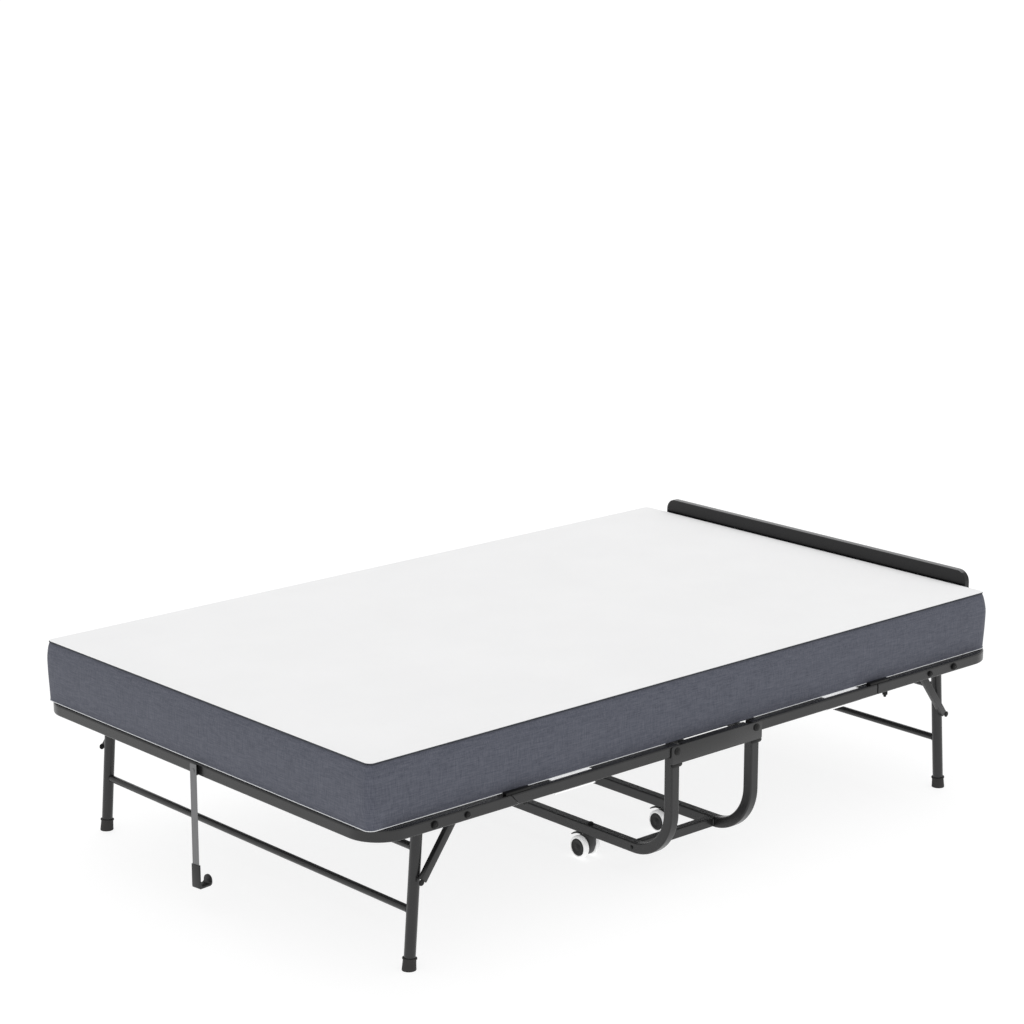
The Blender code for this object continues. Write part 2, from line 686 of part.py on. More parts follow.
# ---------------------------------------------------------------- castors
def build_castor(label, end, side_name, metal_black, white, black):
    stem_x = bed_x(end, HINGE_OUT + 0.0005)
    stem_y = SIDES[side_name] * CASTOR_Y
    swivel = make_empty(label + "_swivel_axis", (stem_x, stem_y, 0.0))
    axle = (stem_x, stem_y + TRAIL, WHEEL_R)

    ring = WHEEL_R - 0.0008
    crown = [(axle[1] + a, axle[2] + b) for a, b in arc((0, 0), ring, 86, 40, 3)]
    lower = [(axle[1] + a, axle[2] + b) for a, b in arc((0, 0), WHEEL_R * 0.72, 20, -160, 6)]
    top = U_BOTTOM_Z - GAP
    outline = [(stem_y - 0.0085, top), (stem_y + 0.0085, top), *crown, *lower, (stem_y - 0.0085, WHEEL_R + 0.006)]
    bm = bmesh.new()
    add_prism(bm, outline, 0, stem_x - FORK_HALF, stem_x + FORK_HALF)
    fork = make_object(label + "_fork", bm, black, (stem_x, stem_y, 0.0), swivel)
    bm = bmesh.new()
    add_round(bm, (stem_x - 0.02, *axle[1:]), (stem_x + 0.02, *axle[1:]), AXLE_R + GAP, SMALL_ROUND)
    boolean(fork, "DIFFERENCE", label + "_axle_hole_guide", bm)

    inner, outer = WHEEL_X
    tyre = [(inner, AXLE_R), (inner, WHEEL_R - 0.002), (inner + 0.002, WHEEL_R), (outer - 0.004, WHEEL_R),
            (outer - 0.001, WHEEL_R - 0.003), (outer, HUB_R)]
    profile = [(-x, r) for x, r in reversed(tyre)] + tyre
    bm = bmesh.new()
    add_turned(bm, profile, axle, ROUND)
    make_object(label + "_wheels", bm, white, axle, swivel, smooth=True)

    pivot = (stem_x, axle[1] + LEVER_PIVOT[0], LEVER_PIVOT[1])
    y, z = pivot[1], pivot[2]
    paddle = [(y - 0.0010, z - 0.0008), (y + 0.012, z - 0.0014), (y + 0.026, z - 0.0055), (y + 0.0275, z - 0.0035),
              (y + 0.014, z + 0.0015), (y, z + 0.0022), (y - 0.0016, z + 0.0010)]
    bm = bmesh.new()
    add_prism(bm, paddle, 0, stem_x - 0.011, stem_x + 0.011)
    make_object(label + "_brake_lever", bm, metal_black, pivot, swivel)


# ---------------------------------------------------------------- the whole bed
def build_trolley(metal, bolt_metal):
    for side_name, side in SIDES.items():
        build_centre_rail("center_rail_" + side_name, side, metal)
        build_base_bar("base_bar_" + side_name, side, metal)
    build_centre_deck(metal)
    for end in ENDS:
        build_u_frame("u_frame_" + end, end, metal)
        for side_name, side in SIDES.items():
            build_fold_bolt("fold_bolt_{}_{}".format(end, side_name), end, side, bolt_metal)


def build_half(end, metal, white, rubber):
    fold = make_empty(end + "_fold_axis", fold_pivot(end))
    build_end_tube(end, metal, fold)
    build_half_decks(end, metal, fold)
    for side_name in SIDES:
        build_rail(end, side_name, metal, fold)
        build_sleeve(end, side_name, white, fold)
        build_brace(end, side_name, metal, fold)
    build_legs(end, metal, rubber, fold)
    return fold


def build_bed():
    clear_scene()
    metal = make_material("black_powder_coat", (0.055, 0.055, 0.056), 0.42, 0.2)
    bolt_metal = make_material("black_bolts", (0.02, 0.02, 0.02), 0.35, 0.5)
    steel = make_material("grey_strap", (0.24, 0.24, 0.24), 0.45, 0.6)
    white = make_material("white_plastic", (0.86, 0.86, 0.85), 0.45)
    black = make_material("black_plastic", (0.02, 0.02, 0.02), 0.5)
    board_black = make_material("headboard_black", (0.04, 0.04, 0.04), 0.45)
    board_grey = make_material("headboard_grey", (0.5, 0.5, 0.5), 0.6)
    rubber = make_material("black_rubber", (0.05, 0.05, 0.05), 0.8)
    fabric = make_material("mattress_fabric", (0.6, 0.6, 0.62), 0.9)

    build_trolley(metal, bolt_metal)
    folds = {end: build_half(end, metal, white, rubber) for end in ENDS}
    build_mattress(fabric, folds)
    build_headboard(board_black, board_grey, folds["head"])
    build_latch(metal, steel, black, folds["foot"])
    for end in ENDS:
        for side_name in SIDES:
            build_castor("castor_{}_{}".format(end, side_name), end, side_name, black, white, black)


build_bed()
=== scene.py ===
"""Looks of a folding rollaway bed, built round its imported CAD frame.

Metres, in the frame's own coordinates: +Z up, +X towards the head, -Y the near side.
"""
import json
import math

import bmesh
import bpy
from mathutils import Matrix, Vector, noise


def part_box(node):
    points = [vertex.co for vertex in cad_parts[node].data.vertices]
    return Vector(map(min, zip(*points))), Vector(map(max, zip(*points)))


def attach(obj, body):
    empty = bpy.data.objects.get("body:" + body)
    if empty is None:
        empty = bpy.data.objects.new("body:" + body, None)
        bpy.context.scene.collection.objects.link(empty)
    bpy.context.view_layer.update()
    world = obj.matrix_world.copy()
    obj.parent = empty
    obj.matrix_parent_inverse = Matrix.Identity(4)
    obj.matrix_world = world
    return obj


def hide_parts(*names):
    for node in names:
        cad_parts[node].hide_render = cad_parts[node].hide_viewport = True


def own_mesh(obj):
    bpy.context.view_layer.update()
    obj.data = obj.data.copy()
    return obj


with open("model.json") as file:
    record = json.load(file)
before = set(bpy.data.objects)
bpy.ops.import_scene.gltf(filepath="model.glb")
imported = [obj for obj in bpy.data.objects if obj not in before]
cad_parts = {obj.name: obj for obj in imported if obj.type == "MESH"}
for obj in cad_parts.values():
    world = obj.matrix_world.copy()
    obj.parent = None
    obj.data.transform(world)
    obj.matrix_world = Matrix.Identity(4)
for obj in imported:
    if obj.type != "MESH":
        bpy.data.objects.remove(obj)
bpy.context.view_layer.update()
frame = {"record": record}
NODE_BODY = {node: body for body, nodes in frame["record"]["behaviour"]["bodies"].items() for node in nodes}

# ---------------------------------------------------------------- sizes: the CAD's, a few of them refined
ENDS = {"foot": -1.0, "head": 1.0}
SIDES = {"near": -1.0, "far": 1.0}
PLATE_LOW, PLATE_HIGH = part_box("center_rail_near")
CENTRE_X = (PLATE_LOW.x + PLATE_HIGH.x) / 2
GAP = 0.0003
HINGE_OUT = 0.1255
HINGE_Z = 0.3235
END_FACE = {"foot": 0.9740, "head": 0.9790}
SEAM = {"foot": 0.596, "head": 0.540}
SEAM_GAP = {"foot": 0.0008, "head": 0.0018}  # each tube end stands back this far from the seam
SEAM_SLANT = {"foot": 0.9, "head": 0.0}      # the foot seams are cut at a slant
# Splice block on top of the rail: from, to; then where its nut hangs and how far it hangs down
SPLICE = {"foot": (0.550, 0.619, 0.5604, 0.0062), "head": (0.517, 0.584, 0.580, 0.0110)}
SPLICE_Y = (0.5905, 0.6035)
SPLICE_RISE = 0.006
RAIL_OUT = 0.6066
TUBE = 0.025
TUBE_R = 0.0032
CORNER_R = 0.080
RAIL_INNER_END = 0.1175
DECK_TOP = HINGE_Z + TUBE / 2
PLATE_T = 0.003
PLATE_HALF = 0.143
PLATE_Z = (0.294, 0.336)
SLEEVE_OUT = (0.368, 0.484)
SLEEVE_Y_IN = 0.558
LEG_PIVOT_OUT = 0.8155
LEG_Y = 0.552
LEG_R = 0.0125
LEG_TILT = math.radians(4.5)
CROSSBARS_DOWN = (0.064, 0.198)
BRACE_PIVOT_OUT = 0.728
BRACE_LENGTH = 0.166
BRACE_ANGLE = math.radians(53.6)
BRACE_HALF = 0.008
BRACE_T = 0.0018
BRACE_Y = (0.5670, 0.5795)
BOARD_HALF = 0.514
BOARD_Z = (0.3363, 0.5137)
BOARD_T = 0.018
LATCH_OUT = 0.9834
LATCH_Y = -0.0087
LATCH_TURN = math.radians(7)
SLAT_YS = [-0.137 * 3.5 + 0.137 * i for i in range(8)]
SLAT_HALF = 0.0475
SLAT_T = 0.0012
U_X = HINGE_OUT + 0.0005
U_LOW = 0.057
U_BEND = 0.120
BASE_BAR_Y = 0.4835
STEM_Y = 0.338
WHEEL_R = 0.0265


def bed_x(end, out):
    return CENTRE_X + ENDS[end] * out


def leg_point(end, down, y=0.0):
    """A point on the leg's centre line, down from its pivot."""
    out = LEG_PIVOT_OUT + down * math.sin(LEG_TILT)
    return Vector((bed_x(end, out), y, HINGE_Z - down * math.cos(LEG_TILT)))


# ------------------------------------------------------------ geometry: each function returns a new bmesh
def arc(centre, radius, start, end, steps):
    angles = [math.radians(start + (end - start) * i / steps) for i in range(steps + 1)]
    return [(centre[0] + radius * math.cos(a), centre[1] + radius * math.sin(a)) for a in angles]


def rounded_rectangle(width, height, radius, steps=4, support=0.0008):
    """Section of a square tube: arcs at the corners, with a support point on each side of them."""
    points = []
    for corner, (sx, sy) in enumerate(((1, 1), (-1, 1), (-1, -1), (1, -1))):
        centre = (sx * (width / 2 - radius), sy * (height / 2 - radius))
        start = 90 * corner
        before, *middle, after = arc(centre, radius, start, start + 90, steps)
        turn = math.radians(start)
        along = (math.cos(turn + math.pi / 2), math.sin(turn + math.pi / 2))
        out = (math.cos(turn), math.sin(turn))
        points.append((before[0] - along[0] * support, before[1] - along[1] * support))
        points += [before, *middle, after]
        points.append((after[0] - out[0] * support, after[1] - out[1] * support))
    return points


def circle(radius, sides):
    return [(radius * math.cos(2 * math.pi * i / sides), radius * math.sin(2 * math.pi * i / sides))
            for i in range(sides)]


def loft(rings, capped=True, closed=False):
    bm = bmesh.new()
    rows = [[bm.verts.new(p) for p in ring] for ring in rings]
    count = len(rows[0])
    pairs = list(zip(rows, rows[1:])) + ([(rows[-1], rows[0])] if closed else [])
    for a, b in pairs:
        for i in range(count):
            j = (i + 1) % count
            bm.faces.new((a[i], a[j], b[j], b[i]))
    if capped and not closed:
        bm.faces.new(list(reversed(rows[0])))
        bm.faces.new(rows[-1])
    bmesh.ops.recalc_face_normals(bm, faces=bm.faces)
    return bm


def sweep(path, normal, section, ease=0.0007):
    """A bar along a flat path.  Its ends are eased over by a small rounded edge."""
    normal = Vector(normal)
    points = [Vector(p) for p in path]
    if ease:
        first = (points[1] - points[0]).normalized()
        last = (points[-1] - points[-2]).normalized()
        points = [points[0], points[0] + first * ease, *points[1:-1], points[-1] - last * ease, points[-1]]
    rings = []
    width = max(a for a, b in section)
    for i, point in enumerate(points):
        before = (point - points[i - 1]).normalized() if i else None
        after = (points[i + 1] - point).normalized() if i + 1 < len(points) else None
        tangent = ((before or after) + (after or before)).normalized()
        side = normal.cross(tangent) / tangent.dot(before or after)
        scale = 1 - ease / width if ease and i in (0, len(points) - 1) else 1.0
        rings.append([point + side * a * scale + normal * b * scale for a, b in section])
    return loft(rings)


def turned(profile, centre, axis, sides=24, closed=False):
    """Turn (distance along the axis, radius) pairs round an axis through centre."""
    centre, axis = Vector(centre), Vector(axis).normalized()
    side = axis.orthogonal().normalized()
    other = axis.cross(side)
    rings = [[centre + axis * d + side * a + other * b for a, b in circle(r, sides)] for d, r in profile]
    return loft(rings, closed=closed)


def rod(start, end, radius, sides=28, ease=0.0007):
    start, end = Vector(start), Vector(end)
    length = (end - start).length
    profile = [(0, radius - ease), (ease, radius), (length - ease, radius), (length, radius - ease)]
    return turned(profile, start, end - start, sides)


def bevelled(bm, width, segments=2):
    if width:
        edges = [e for e in bm.edges if e.is_manifold and e.calc_face_angle() > math.radians(28)]
        bmesh.ops.bevel(bm, geom=edges, offset=width, segments=segments, profile=0.5, affect="EDGES",
                        clamp_overlap=True)
    return bm


def prism(outline, axis, low, high, bevel=0.0005, segments=2):
    def ring(value):
        points = []
        for pair in outline:
            coords = list(pair)
            coords.insert(axis, value)
            points.append(coords)
        return points
    return bevelled(loft([ring(low), ring(high)]), bevel, segments)


def block(low, high, bevel=0.0008, segments=2):
    low, high = [min(a, b) for a, b in zip(low, high)], [max(a, b) for a, b in zip(low, high)]
    outline = [(low[0], low[1]), (high[0], low[1]), (high[0], high[1]), (low[0], high[1])]
    return prism(outline, 2, low[2], high[2], bevel, segments)


def bolt_head(centre, axis, radius, height, sides=24):
    """Button head on a thin washer, sunk slightly into what it sits on."""
    washer = height * 0.22
    profile = [(-0.0006, radius), (washer, radius), (washer + 0.0001, radius * 0.84),
               (height * 0.62, radius * 0.82), (height * 0.88, radius * 0.66), (height, radius * 0.42),
               (height * 0.93, radius * 0.30)]
    return turned(profile, centre, axis, sides)


def nut(centre, axis, radius, height):
    """Hexagon nut with the bolt's tip showing."""
    hexagon = turned([(0, radius * 0.94), (height * 0.12, radius), (height * 0.85, radius),
                      (height, radius * 0.9)], centre, axis, 6)
    tip = turned([(0, radius * 0.5), (height * 1.35, radius * 0.5), (height * 1.5, radius * 0.38)],
                 centre, axis, 16)
    return joined(hexagon, tip)


def bead(centre, axis, radius, thickness, sides=32):
    """Weld bead: a ring round a joint."""
    profile = [(thickness * math.cos(a), radius + thickness * math.sin(a))
               for a in (2 * math.pi * i / 8 for i in range(8))]
    return turned(profile, centre, axis, sides, closed=True)


def joined(*parts):
    """One mesh from several.  A part is a bmesh, or a (bmesh, material number) pair."""
    whole = bmesh.new()
    for part in parts:
        bm, number = part if isinstance(part, tuple) else (part, None)
        if number is not None:
            for face in bm.faces:
                face.material_index = number
        scratch = bpy.data.meshes.new("scratch")
        bm.to_mesh(scratch)
        bm.free()
        whole.from_mesh(scratch)
        bpy.data.meshes.remove(scratch)
    return whole


def moved(bm, matrix):
    bmesh.ops.transform(bm, matrix=matrix, verts=bm.verts)
    return bm


def piece(name, bm, materials, body, replaces=(), sharp=35):
    mesh = bpy.data.meshes.new(name)
    bmesh.ops.remove_doubles(bm, verts=bm.verts, dist=1e-6)
    bm.to_mesh(mesh)
    bm.free()
    mesh.shade_smooth()
    mesh.set_sharp_from_angle(angle=math.radians(sharp))
    obj = bpy.data.objects.new(name, mesh)
    bpy.context.scene.collection.objects.link(obj)
    for material in materials if isinstance(materials, (list, tuple)) else [materials]:
        mesh.materials.append(material)
    if body:
        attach(obj, body)
    if replaces:
        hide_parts(*replaces)
    return obj


# ---------------------------------------------------------------- materials
def new_material(name):
    material = bpy.data.materials.new(name)
    material.use_nodes = True
    tree = material.node_tree
    return material, tree.nodes, tree.links, tree.nodes["Principled BSDF"]


def noise_node(nodes, links, source, scale, detail=2.0, stretch=None):
    texture = nodes.new("ShaderNodeTexNoise")
    texture.inputs["Scale"].default_value = scale
    texture.inputs["Detail"].default_value = detail
    if stretch:
        mapping = nodes.new("ShaderNodeMapping")
        mapping.inputs["Scale"].default_value = stretch
        links.new(source, mapping.inputs["Vector"])
        source = mapping.outputs["Vector"]
    links.new(source, texture.inputs["Vector"])
    return texture.outputs["Fac"]


def remap(nodes, links, source, low, high, from_low=0.3, from_high=0.7):
    node = nodes.new("ShaderNodeMapRange")
    for key, value in (("From Min", from_low), ("From Max", from_high), ("To Min", low), ("To Max", high)):
        node.inputs[key].default_value = value
    links.new(source, node.inputs["Value"])
    return node.outputs["Result"]


def mix_colours(nodes, links, factor, a, b):
    node = nodes.new("ShaderNodeMix")
    node.data_type = "RGBA"
    for key, value in ((6, a), (7, b)):
        if isinstance(value, tuple):
            node.inputs[key].default_value = (*value, 1.0)
        else:
            links.new(value, node.inputs[key])
    links.new(factor, node.inputs[0])
    return node.outputs[2]


def add_bump(nodes, links, shader, height, strength, distance, under=None):
    node = nodes.new("ShaderNodeBump")
    node.inputs["Strength"].default_value = strength
    node.inputs["Distance"].default_value = distance
    links.new(height, node.inputs["Height"])
    if under:
        links.new(under, node.inputs["Normal"])
    links.new(node.outputs["Normal"], shader.inputs["Normal"])
    return node.outputs["Normal"]


def hard_surface(name, colour, spread, roughness, grain, grain_depth, specular=0.5, painted_glow=0.0):
    """Painted, moulded or plated surface: mottled colour and gloss over a fine grain, plus an optional
    painted glow, an emission that paints light onto a part that is no lamp.
    """
    material, nodes, links, shader = new_material(name)
    shader.inputs["Metallic"].default_value = 0.0
    shader.inputs["Emission Color"].default_value = (1.0, 1.0, 1.0, 1.0)
    shader.inputs["Emission Strength"].default_value = painted_glow
    shader.inputs["Specular IOR Level"].default_value = specular
    place = nodes.new("ShaderNodeTexCoord").outputs["Object"]
    blotch = noise_node(nodes, links, place, 26.0, 4.0)
    light = tuple(min(1.0, c * (1 + spread)) for c in colour)
    dark = tuple(c * (1 - spread) for c in colour)
    colour_out = mix_colours(nodes, links, remap(nodes, links, blotch, 0, 1), dark, light)
    links.new(colour_out, shader.inputs["Base Color"])
    wipe = noise_node(nodes, links, place, 9.0, 5.0)
    links.new(remap(nodes, links, wipe, roughness - 0.05, roughness + 0.06), shader.inputs["Roughness"])
    peel = noise_node(nodes, links, place, grain, 3.0)
    add_bump(nodes, links, shader, peel, 0.35, grain_depth)
    return material


def brushed_steel(name):
    """Flat-rolled strap: fine lines along its length."""
    material, nodes, links, shader = new_material(name)
    shader.inputs["Metallic"].default_value = 0.85
    place = nodes.new("ShaderNodeTexCoord").outputs["Object"]
    lines = noise_node(nodes, links, place, 900.0, 2.0, stretch=(1.0, 1.0, 0.03))
    colour = mix_colours(nodes, links, lines, (0.115, 0.115, 0.118), (0.265, 0.265, 0.27))
    links.new(colour, shader.inputs["Base Color"])
    links.new(remap(nodes, links, lines, 0.34, 0.52), shader.inputs["Roughness"])
    add_bump(nodes, links, shader, lines, 0.2, 0.0002)
    return material


def weave_height(nodes, links, place, pitch):
    """Height of a plain weave: two crossed waves over each axis pair, so it shows on every face."""
    split = nodes.new("ShaderNodeSeparateXYZ")
    links.new(place, split.inputs[0])
    total = None
    for axis in ("X", "Y", "Z"):
        scale = nodes.new("ShaderNodeMath")
        scale.operation = "MULTIPLY"
        scale.inputs[1].default_value = 2 * math.pi / pitch
        links.new(split.outputs[axis], scale.inputs[0])
        wave = nodes.new("ShaderNodeMath")
        wave.operation = "SINE"
        links.new(scale.outputs[0], wave.inputs[0])
        if total is None:
            total = wave.outputs[0]
        else:
            add = nodes.new("ShaderNodeMath")
            add.operation = "ADD"
            links.new(total, add.inputs[0])
            links.new(wave.outputs[0], add.inputs[1])
            total = add.outputs[0]
    return total


def melange(name, dark, light, pitch=0.0016, streak=1.0, roughness=0.9, sheen=0.15):
    """Heathered cloth: pale and dark threads running both ways over a plain weave."""
    material, nodes, links, shader = new_material(name)
    shader.inputs["Roughness"].default_value = roughness
    shader.inputs["Sheen Weight"].default_value = sheen
    shader.inputs["Sheen Roughness"].default_value = 0.5
    shader.inputs["Specular IOR Level"].default_value = 0.2
    place = nodes.new("ShaderNodeTexCoord").outputs["Object"]
    up = noise_node(nodes, links, place, 1.0, 3.0, stretch=(620.0, 620.0, 46.0))
    level = noise_node(nodes, links, place, 1.0, 3.0, stretch=(40.0, 40.0, 640.0))
    speck = noise_node(nodes, links, place, 700.0, 2.0)
    both = nodes.new("ShaderNodeMath")
    both.operation = "ADD"
    links.new(up, both.inputs[0])
    links.new(level, both.inputs[1])
    three = nodes.new("ShaderNodeMath")
    three.operation = "MULTIPLY_ADD"
    links.new(speck, three.inputs[0])
    three.inputs[1].default_value = 0.6
    links.new(both.outputs[0], three.inputs[2])
    factor = remap(nodes, links, three.outputs[0], 0.5 - 0.5 * streak, 0.5 + 0.5 * streak, 1.0, 1.6)
    links.new(mix_colours(nodes, links, factor, dark, light), shader.inputs["Base Color"])
    weave = weave_height(nodes, links, place, pitch)
    under = add_bump(nodes, links, shader, weave, 0.25, 0.0003)
    add_bump(nodes, links, shader, three.outputs[0], 0.5, 0.0004, under)
    return material


def knit(name, dark, light):
    """Soft white jersey: a fine rib, with broad faint hollows."""
    material, nodes, links, shader = new_material(name)
    shader.inputs["Roughness"].default_value = 0.88
    shader.inputs["Sheen Weight"].default_value = 0.12
    shader.inputs["Sheen Roughness"].default_value = 0.5
    shader.inputs["Specular IOR Level"].default_value = 0.15
    place = nodes.new("ShaderNodeTexCoord").outputs["Object"]
    cloud = noise_node(nodes, links, place, 5.0, 4.0)
    colour = mix_colours(nodes, links, remap(nodes, links, cloud, 0, 1), dark, light)
    links.new(colour, shader.inputs["Base Color"])
    rib = weave_height(nodes, links, place, 0.0028)
    under = add_bump(nodes, links, shader, rib, 0.18, 0.0003)
    fluff = noise_node(nodes, links, place, 320.0, 4.0)
    under = add_bump(nodes, links, shader, fluff, 0.3, 0.0004, under)
    hollow = noise_node(nodes, links, place, 16.0, 3.0)
    add_bump(nodes, links, shader, hollow, 0.25, 0.004, under)
    return material


COAT = hard_surface("black_powder_coat", (0.014, 0.014, 0.0145), 0.12, 0.27, 1400.0, 0.00025)
DECK_COAT = hard_surface("deck_powder_coat", (0.013, 0.013, 0.0135), 0.14, 0.32, 1400.0, 0.00025)
BOLT = hard_surface("blackened_bolt", (0.003, 0.003, 0.003), 0.20, 0.42, 2200.0, 0.0001, specular=0.28)
# Its glow is painted light: an emission that brightens the white sleeve where it sits in the mattress's
# shade.
WHITE_PLASTIC = hard_surface("white_moulded_plastic", (0.88, 0.88, 0.88), 0.02, 0.38, 1800.0, 0.0001,
                             painted_glow=0.30)
BLACK_PLASTIC = hard_surface("black_moulded_plastic", (0.014, 0.014, 0.015), 0.12, 0.42, 1500.0, 0.0002)
# Its glow is painted light: an emission that brightens the white treads in the shade under the bed.
WHEEL_WHITE = hard_surface("white_tread", (0.84, 0.84, 0.84), 0.03, 0.45, 900.0, 0.0002, painted_glow=0.22)
HUB_GREY = hard_surface("dark_hub", (0.016, 0.016, 0.017), 0.10, 0.50, 1500.0, 0.0001, specular=0.3)
RUBBER = hard_surface("black_rubber", (0.030, 0.029, 0.028), 0.12, 0.72, 700.0, 0.0004, specular=0.3)
BOARD_BLACK = hard_surface("headboard_black", (0.008, 0.008, 0.0085), 0.12, 0.20, 1100.0, 0.0003,
                           specular=0.34)
# Lighter copy of the headboard black for the rim's top faces: a painted highlight where overhead light
# catches the top edge.
BOARD_PAINTED_HIGHLIGHT = hard_surface("headboard_top_painted_highlight", (0.085, 0.085, 0.087), 0.08, 0.22, 1100.0, 0.0002)
BOARD_GREY = hard_surface("headboard_grey", (0.42, 0.42, 0.42), 0.05, 0.55, 600.0, 0.0004)
STEEL = brushed_steel("rolled_steel_strap")
TOP_KNIT = knit("mattress_white_knit", (0.865, 0.865, 0.868), (0.885, 0.885, 0.888))
SIDE_CLOTH = melange("mattress_slate_melange", (0.066, 0.071, 0.094), (0.122, 0.128, 0.158))
# Dark seam cord along the top edge; the same cloth is also put on the middle pieces' piping as painted shade.
SEAM_CORD_AND_PIPING_SHADE = melange("mattress_seam_cord_and_piping_shade", (0.020, 0.022, 0.028), (0.042, 0.045, 0.056), pitch=0.0022)
PIPING = melange("mattress_light_piping", (0.74, 0.75, 0.77), (0.90, 0.91, 0.92), pitch=0.0024)
UNDER_CLOTH = melange("mattress_underside", (0.60, 0.61, 0.63), (0.74, 0.75, 0.76), streak=0.7)

SQUARE = rounded_rectangle(TUBE, TUBE, TUBE_R)


# ---------------------------------------------------------------- trolley in the middle
def make_trolley():
    outer = RAIL_OUT + GAP + PLATE_T
    for side_name, side in SIDES.items():
        name = "center_rail_" + side_name
        low, high = PLATE_Z
        half = PLATE_HALF
        corners = [((half - 0.006, high - 0.006), 0), ((-half + 0.006, high - 0.006), 90),
                   ((-half + 0.004, low + 0.004), 180), ((half - 0.004, low + 0.004), 270)]
        outline = []
        for (cx, cz), start in corners:
            radius = 0.006 if start < 180 else 0.004
            outline += arc((CENTRE_X + cx, cz), radius, start, start + 90, 4)
        faces = sorted((side * outer, side * (outer - PLATE_T)))
        plate = prism(outline, 1, *faces, bevel=0.0006)
        inside = RAIL_OUT - 0.020
        web = block((CENTRE_X - 0.105, side * inside, HINGE_Z - TUBE / 2),
                    (CENTRE_X + 0.105, side * (outer - 0.001), high - 0.0004), 0.0022, 3)
        piece(name + "_shape", joined(plate, web), COAT, "base", [name])

        bar_name = "base_bar_" + side_name
        reach = U_X - 0.012 - GAP
        z = U_LOW + 0.002 + 0.0225 / 2
        y = side * BASE_BAR_Y
        bar = sweep([(CENTRE_X - reach, y, z), (CENTRE_X + reach, y, z)], (0, 0, 1),
                    rounded_rectangle(0.020, 0.0225, 0.0028))
        welds = []
        for end in ENDS:
            x = bed_x(end, reach - 0.0012)
            for dy, dz in ((0.0, 0.0108), (0.0096, 0.0), (-0.0096, 0.0)):
                span = 0.007 if dz else 0.0
                rise = 0.0 if dz else 0.008
                welds.append(rod((x, y + dy - span, z + dz - rise), (x, y + dy + span, z + dz + rise),
                                 0.0016, 10))
        piece(bar_name + "_shape", joined(bar, *welds), COAT, "base", [bar_name])

    half = RAIL_OUT - TUBE / 2
    low = U_LOW + TUBE / 2
    radius = U_BEND - TUBE / 2
    for end in ENDS:
        left = arc((-half + radius, low + radius), radius, 180, 270, 18)
        right = arc((half - radius, low + radius), radius, 270, 360, 18)
        x = bed_x(end, U_X)
        path = [(x, y, z) for y, z in [(-half, 0.308), *left, *right, (half, 0.308)]]
        bow = sweep(path, (1, 0, 0), rounded_rectangle(TUBE, 0.024, 0.0032))
        nuts = [nut((x, side * STEM_Y, U_LOW + TUBE - 0.0003), (0, 0, 1), 0.0072, 0.0038)
                for side in SIDES.values()]
        washers = [bolt_head((x, side * STEM_Y, U_LOW + TUBE), (0, 0, 1), 0.0088, 0.0010)
                   for side in SIDES.values()]
        outward = ENDS[end]
        bar_bolts = [bolt_head((x + outward * 0.0118, y, U_LOW + 0.0125), (outward, 0, 0), 0.0048, 0.0022)
                     for y in (-BASE_BAR_Y, BASE_BAR_Y)]
        brackets = []
        for side in SIDES.values():
            wide = [side * (RAIL_OUT + 0.0030), side * (RAIL_OUT - 0.0010)]
            outline = [(x - 0.0125, 0.2868), (x + 0.0125, 0.2868), (x + 0.0165, 0.2898), (x + 0.0165, 0.2936),
                       (x - 0.0165, 0.2936), (x - 0.0165, 0.2898)]
            brackets.append(prism(outline, 1, *sorted(wide), bevel=0.0004))
        fittings = [(bm, 1) for bm in nuts + washers + bar_bolts + brackets]
        name = "u_frame_" + end
        piece(name + "_shape", joined((bow, 0), *fittings), [COAT, BOLT], "base", [name])
        for side_name, side in SIDES.items():
            bolt_x = bed_x(end, HINGE_OUT)
            y = outer + GAP
            inner = 0.5785
            shank = turned([(0, 0.004), (y - inner, 0.004)], (bolt_x, side * inner, HINGE_Z),
                           (0, side, 0), 16)
            head = turned([(0, 0.0084), (0.0009, 0.0086), (0.0017, 0.0082), (0.0022, 0.0060),
                           (0.0022, 0.0050), (0.0030, 0.0046), (0.0034, 0.0030)],
                          (bolt_x, side * y, HINGE_Z), (0, side, 0), 24)
            name = "fold_bolt_{}_{}".format(end, side_name)
            piece(name + "_shape", joined(shank, head), BOLT, "base", [name])


# ---------------------------------------------------------------- slatted decks
def slat(x_low, x_high, y):
    """Thin pressed slat: two shallow grooves beside each long edge, fading out before the ends."""
    h = SLAT_HALF
    across = []
    for edge in (-1, 1):
        side = [(-h, 0.0), (-h + 0.0015, 0.0), (-h + 0.007, 0.0), (-h + 0.0085, 1.0), (-h + 0.010, 0.0),
                (-h + 0.0145, 0.0), (-h + 0.016, 1.0), (-h + 0.0175, 0.0)]
        across += side if edge < 0 else [(-a, b) for a, b in reversed(side)]
    fades = [(x_low, 0.0, 0.0), (x_low + 0.014, 0.0, 0.0), (x_low + 0.0165, 0.0, 1.0),
             (x_low + 0.019, 0.0, 0.0), (x_low + 0.028, 1.0, 0.0), (x_high - 0.028, 1.0, 0.0),
             (x_high - 0.019, 0.0, 0.0), (x_high - 0.0165, 0.0, 1.0), (x_high - 0.014, 0.0, 0.0),
             (x_high, 0.0, 0.0)]
    rings = []
    for x, groove, crease in fades:
        top = [(y + a, DECK_TOP - 0.0012 * b * groove - 0.0009 * crease * (abs(a) < h - 0.001))
               for a, b in across]
        rings.append([(x, a, z) for a, z in top] + [(x, a, z - SLAT_T) for a, z in reversed(top)])
    return loft(rings)


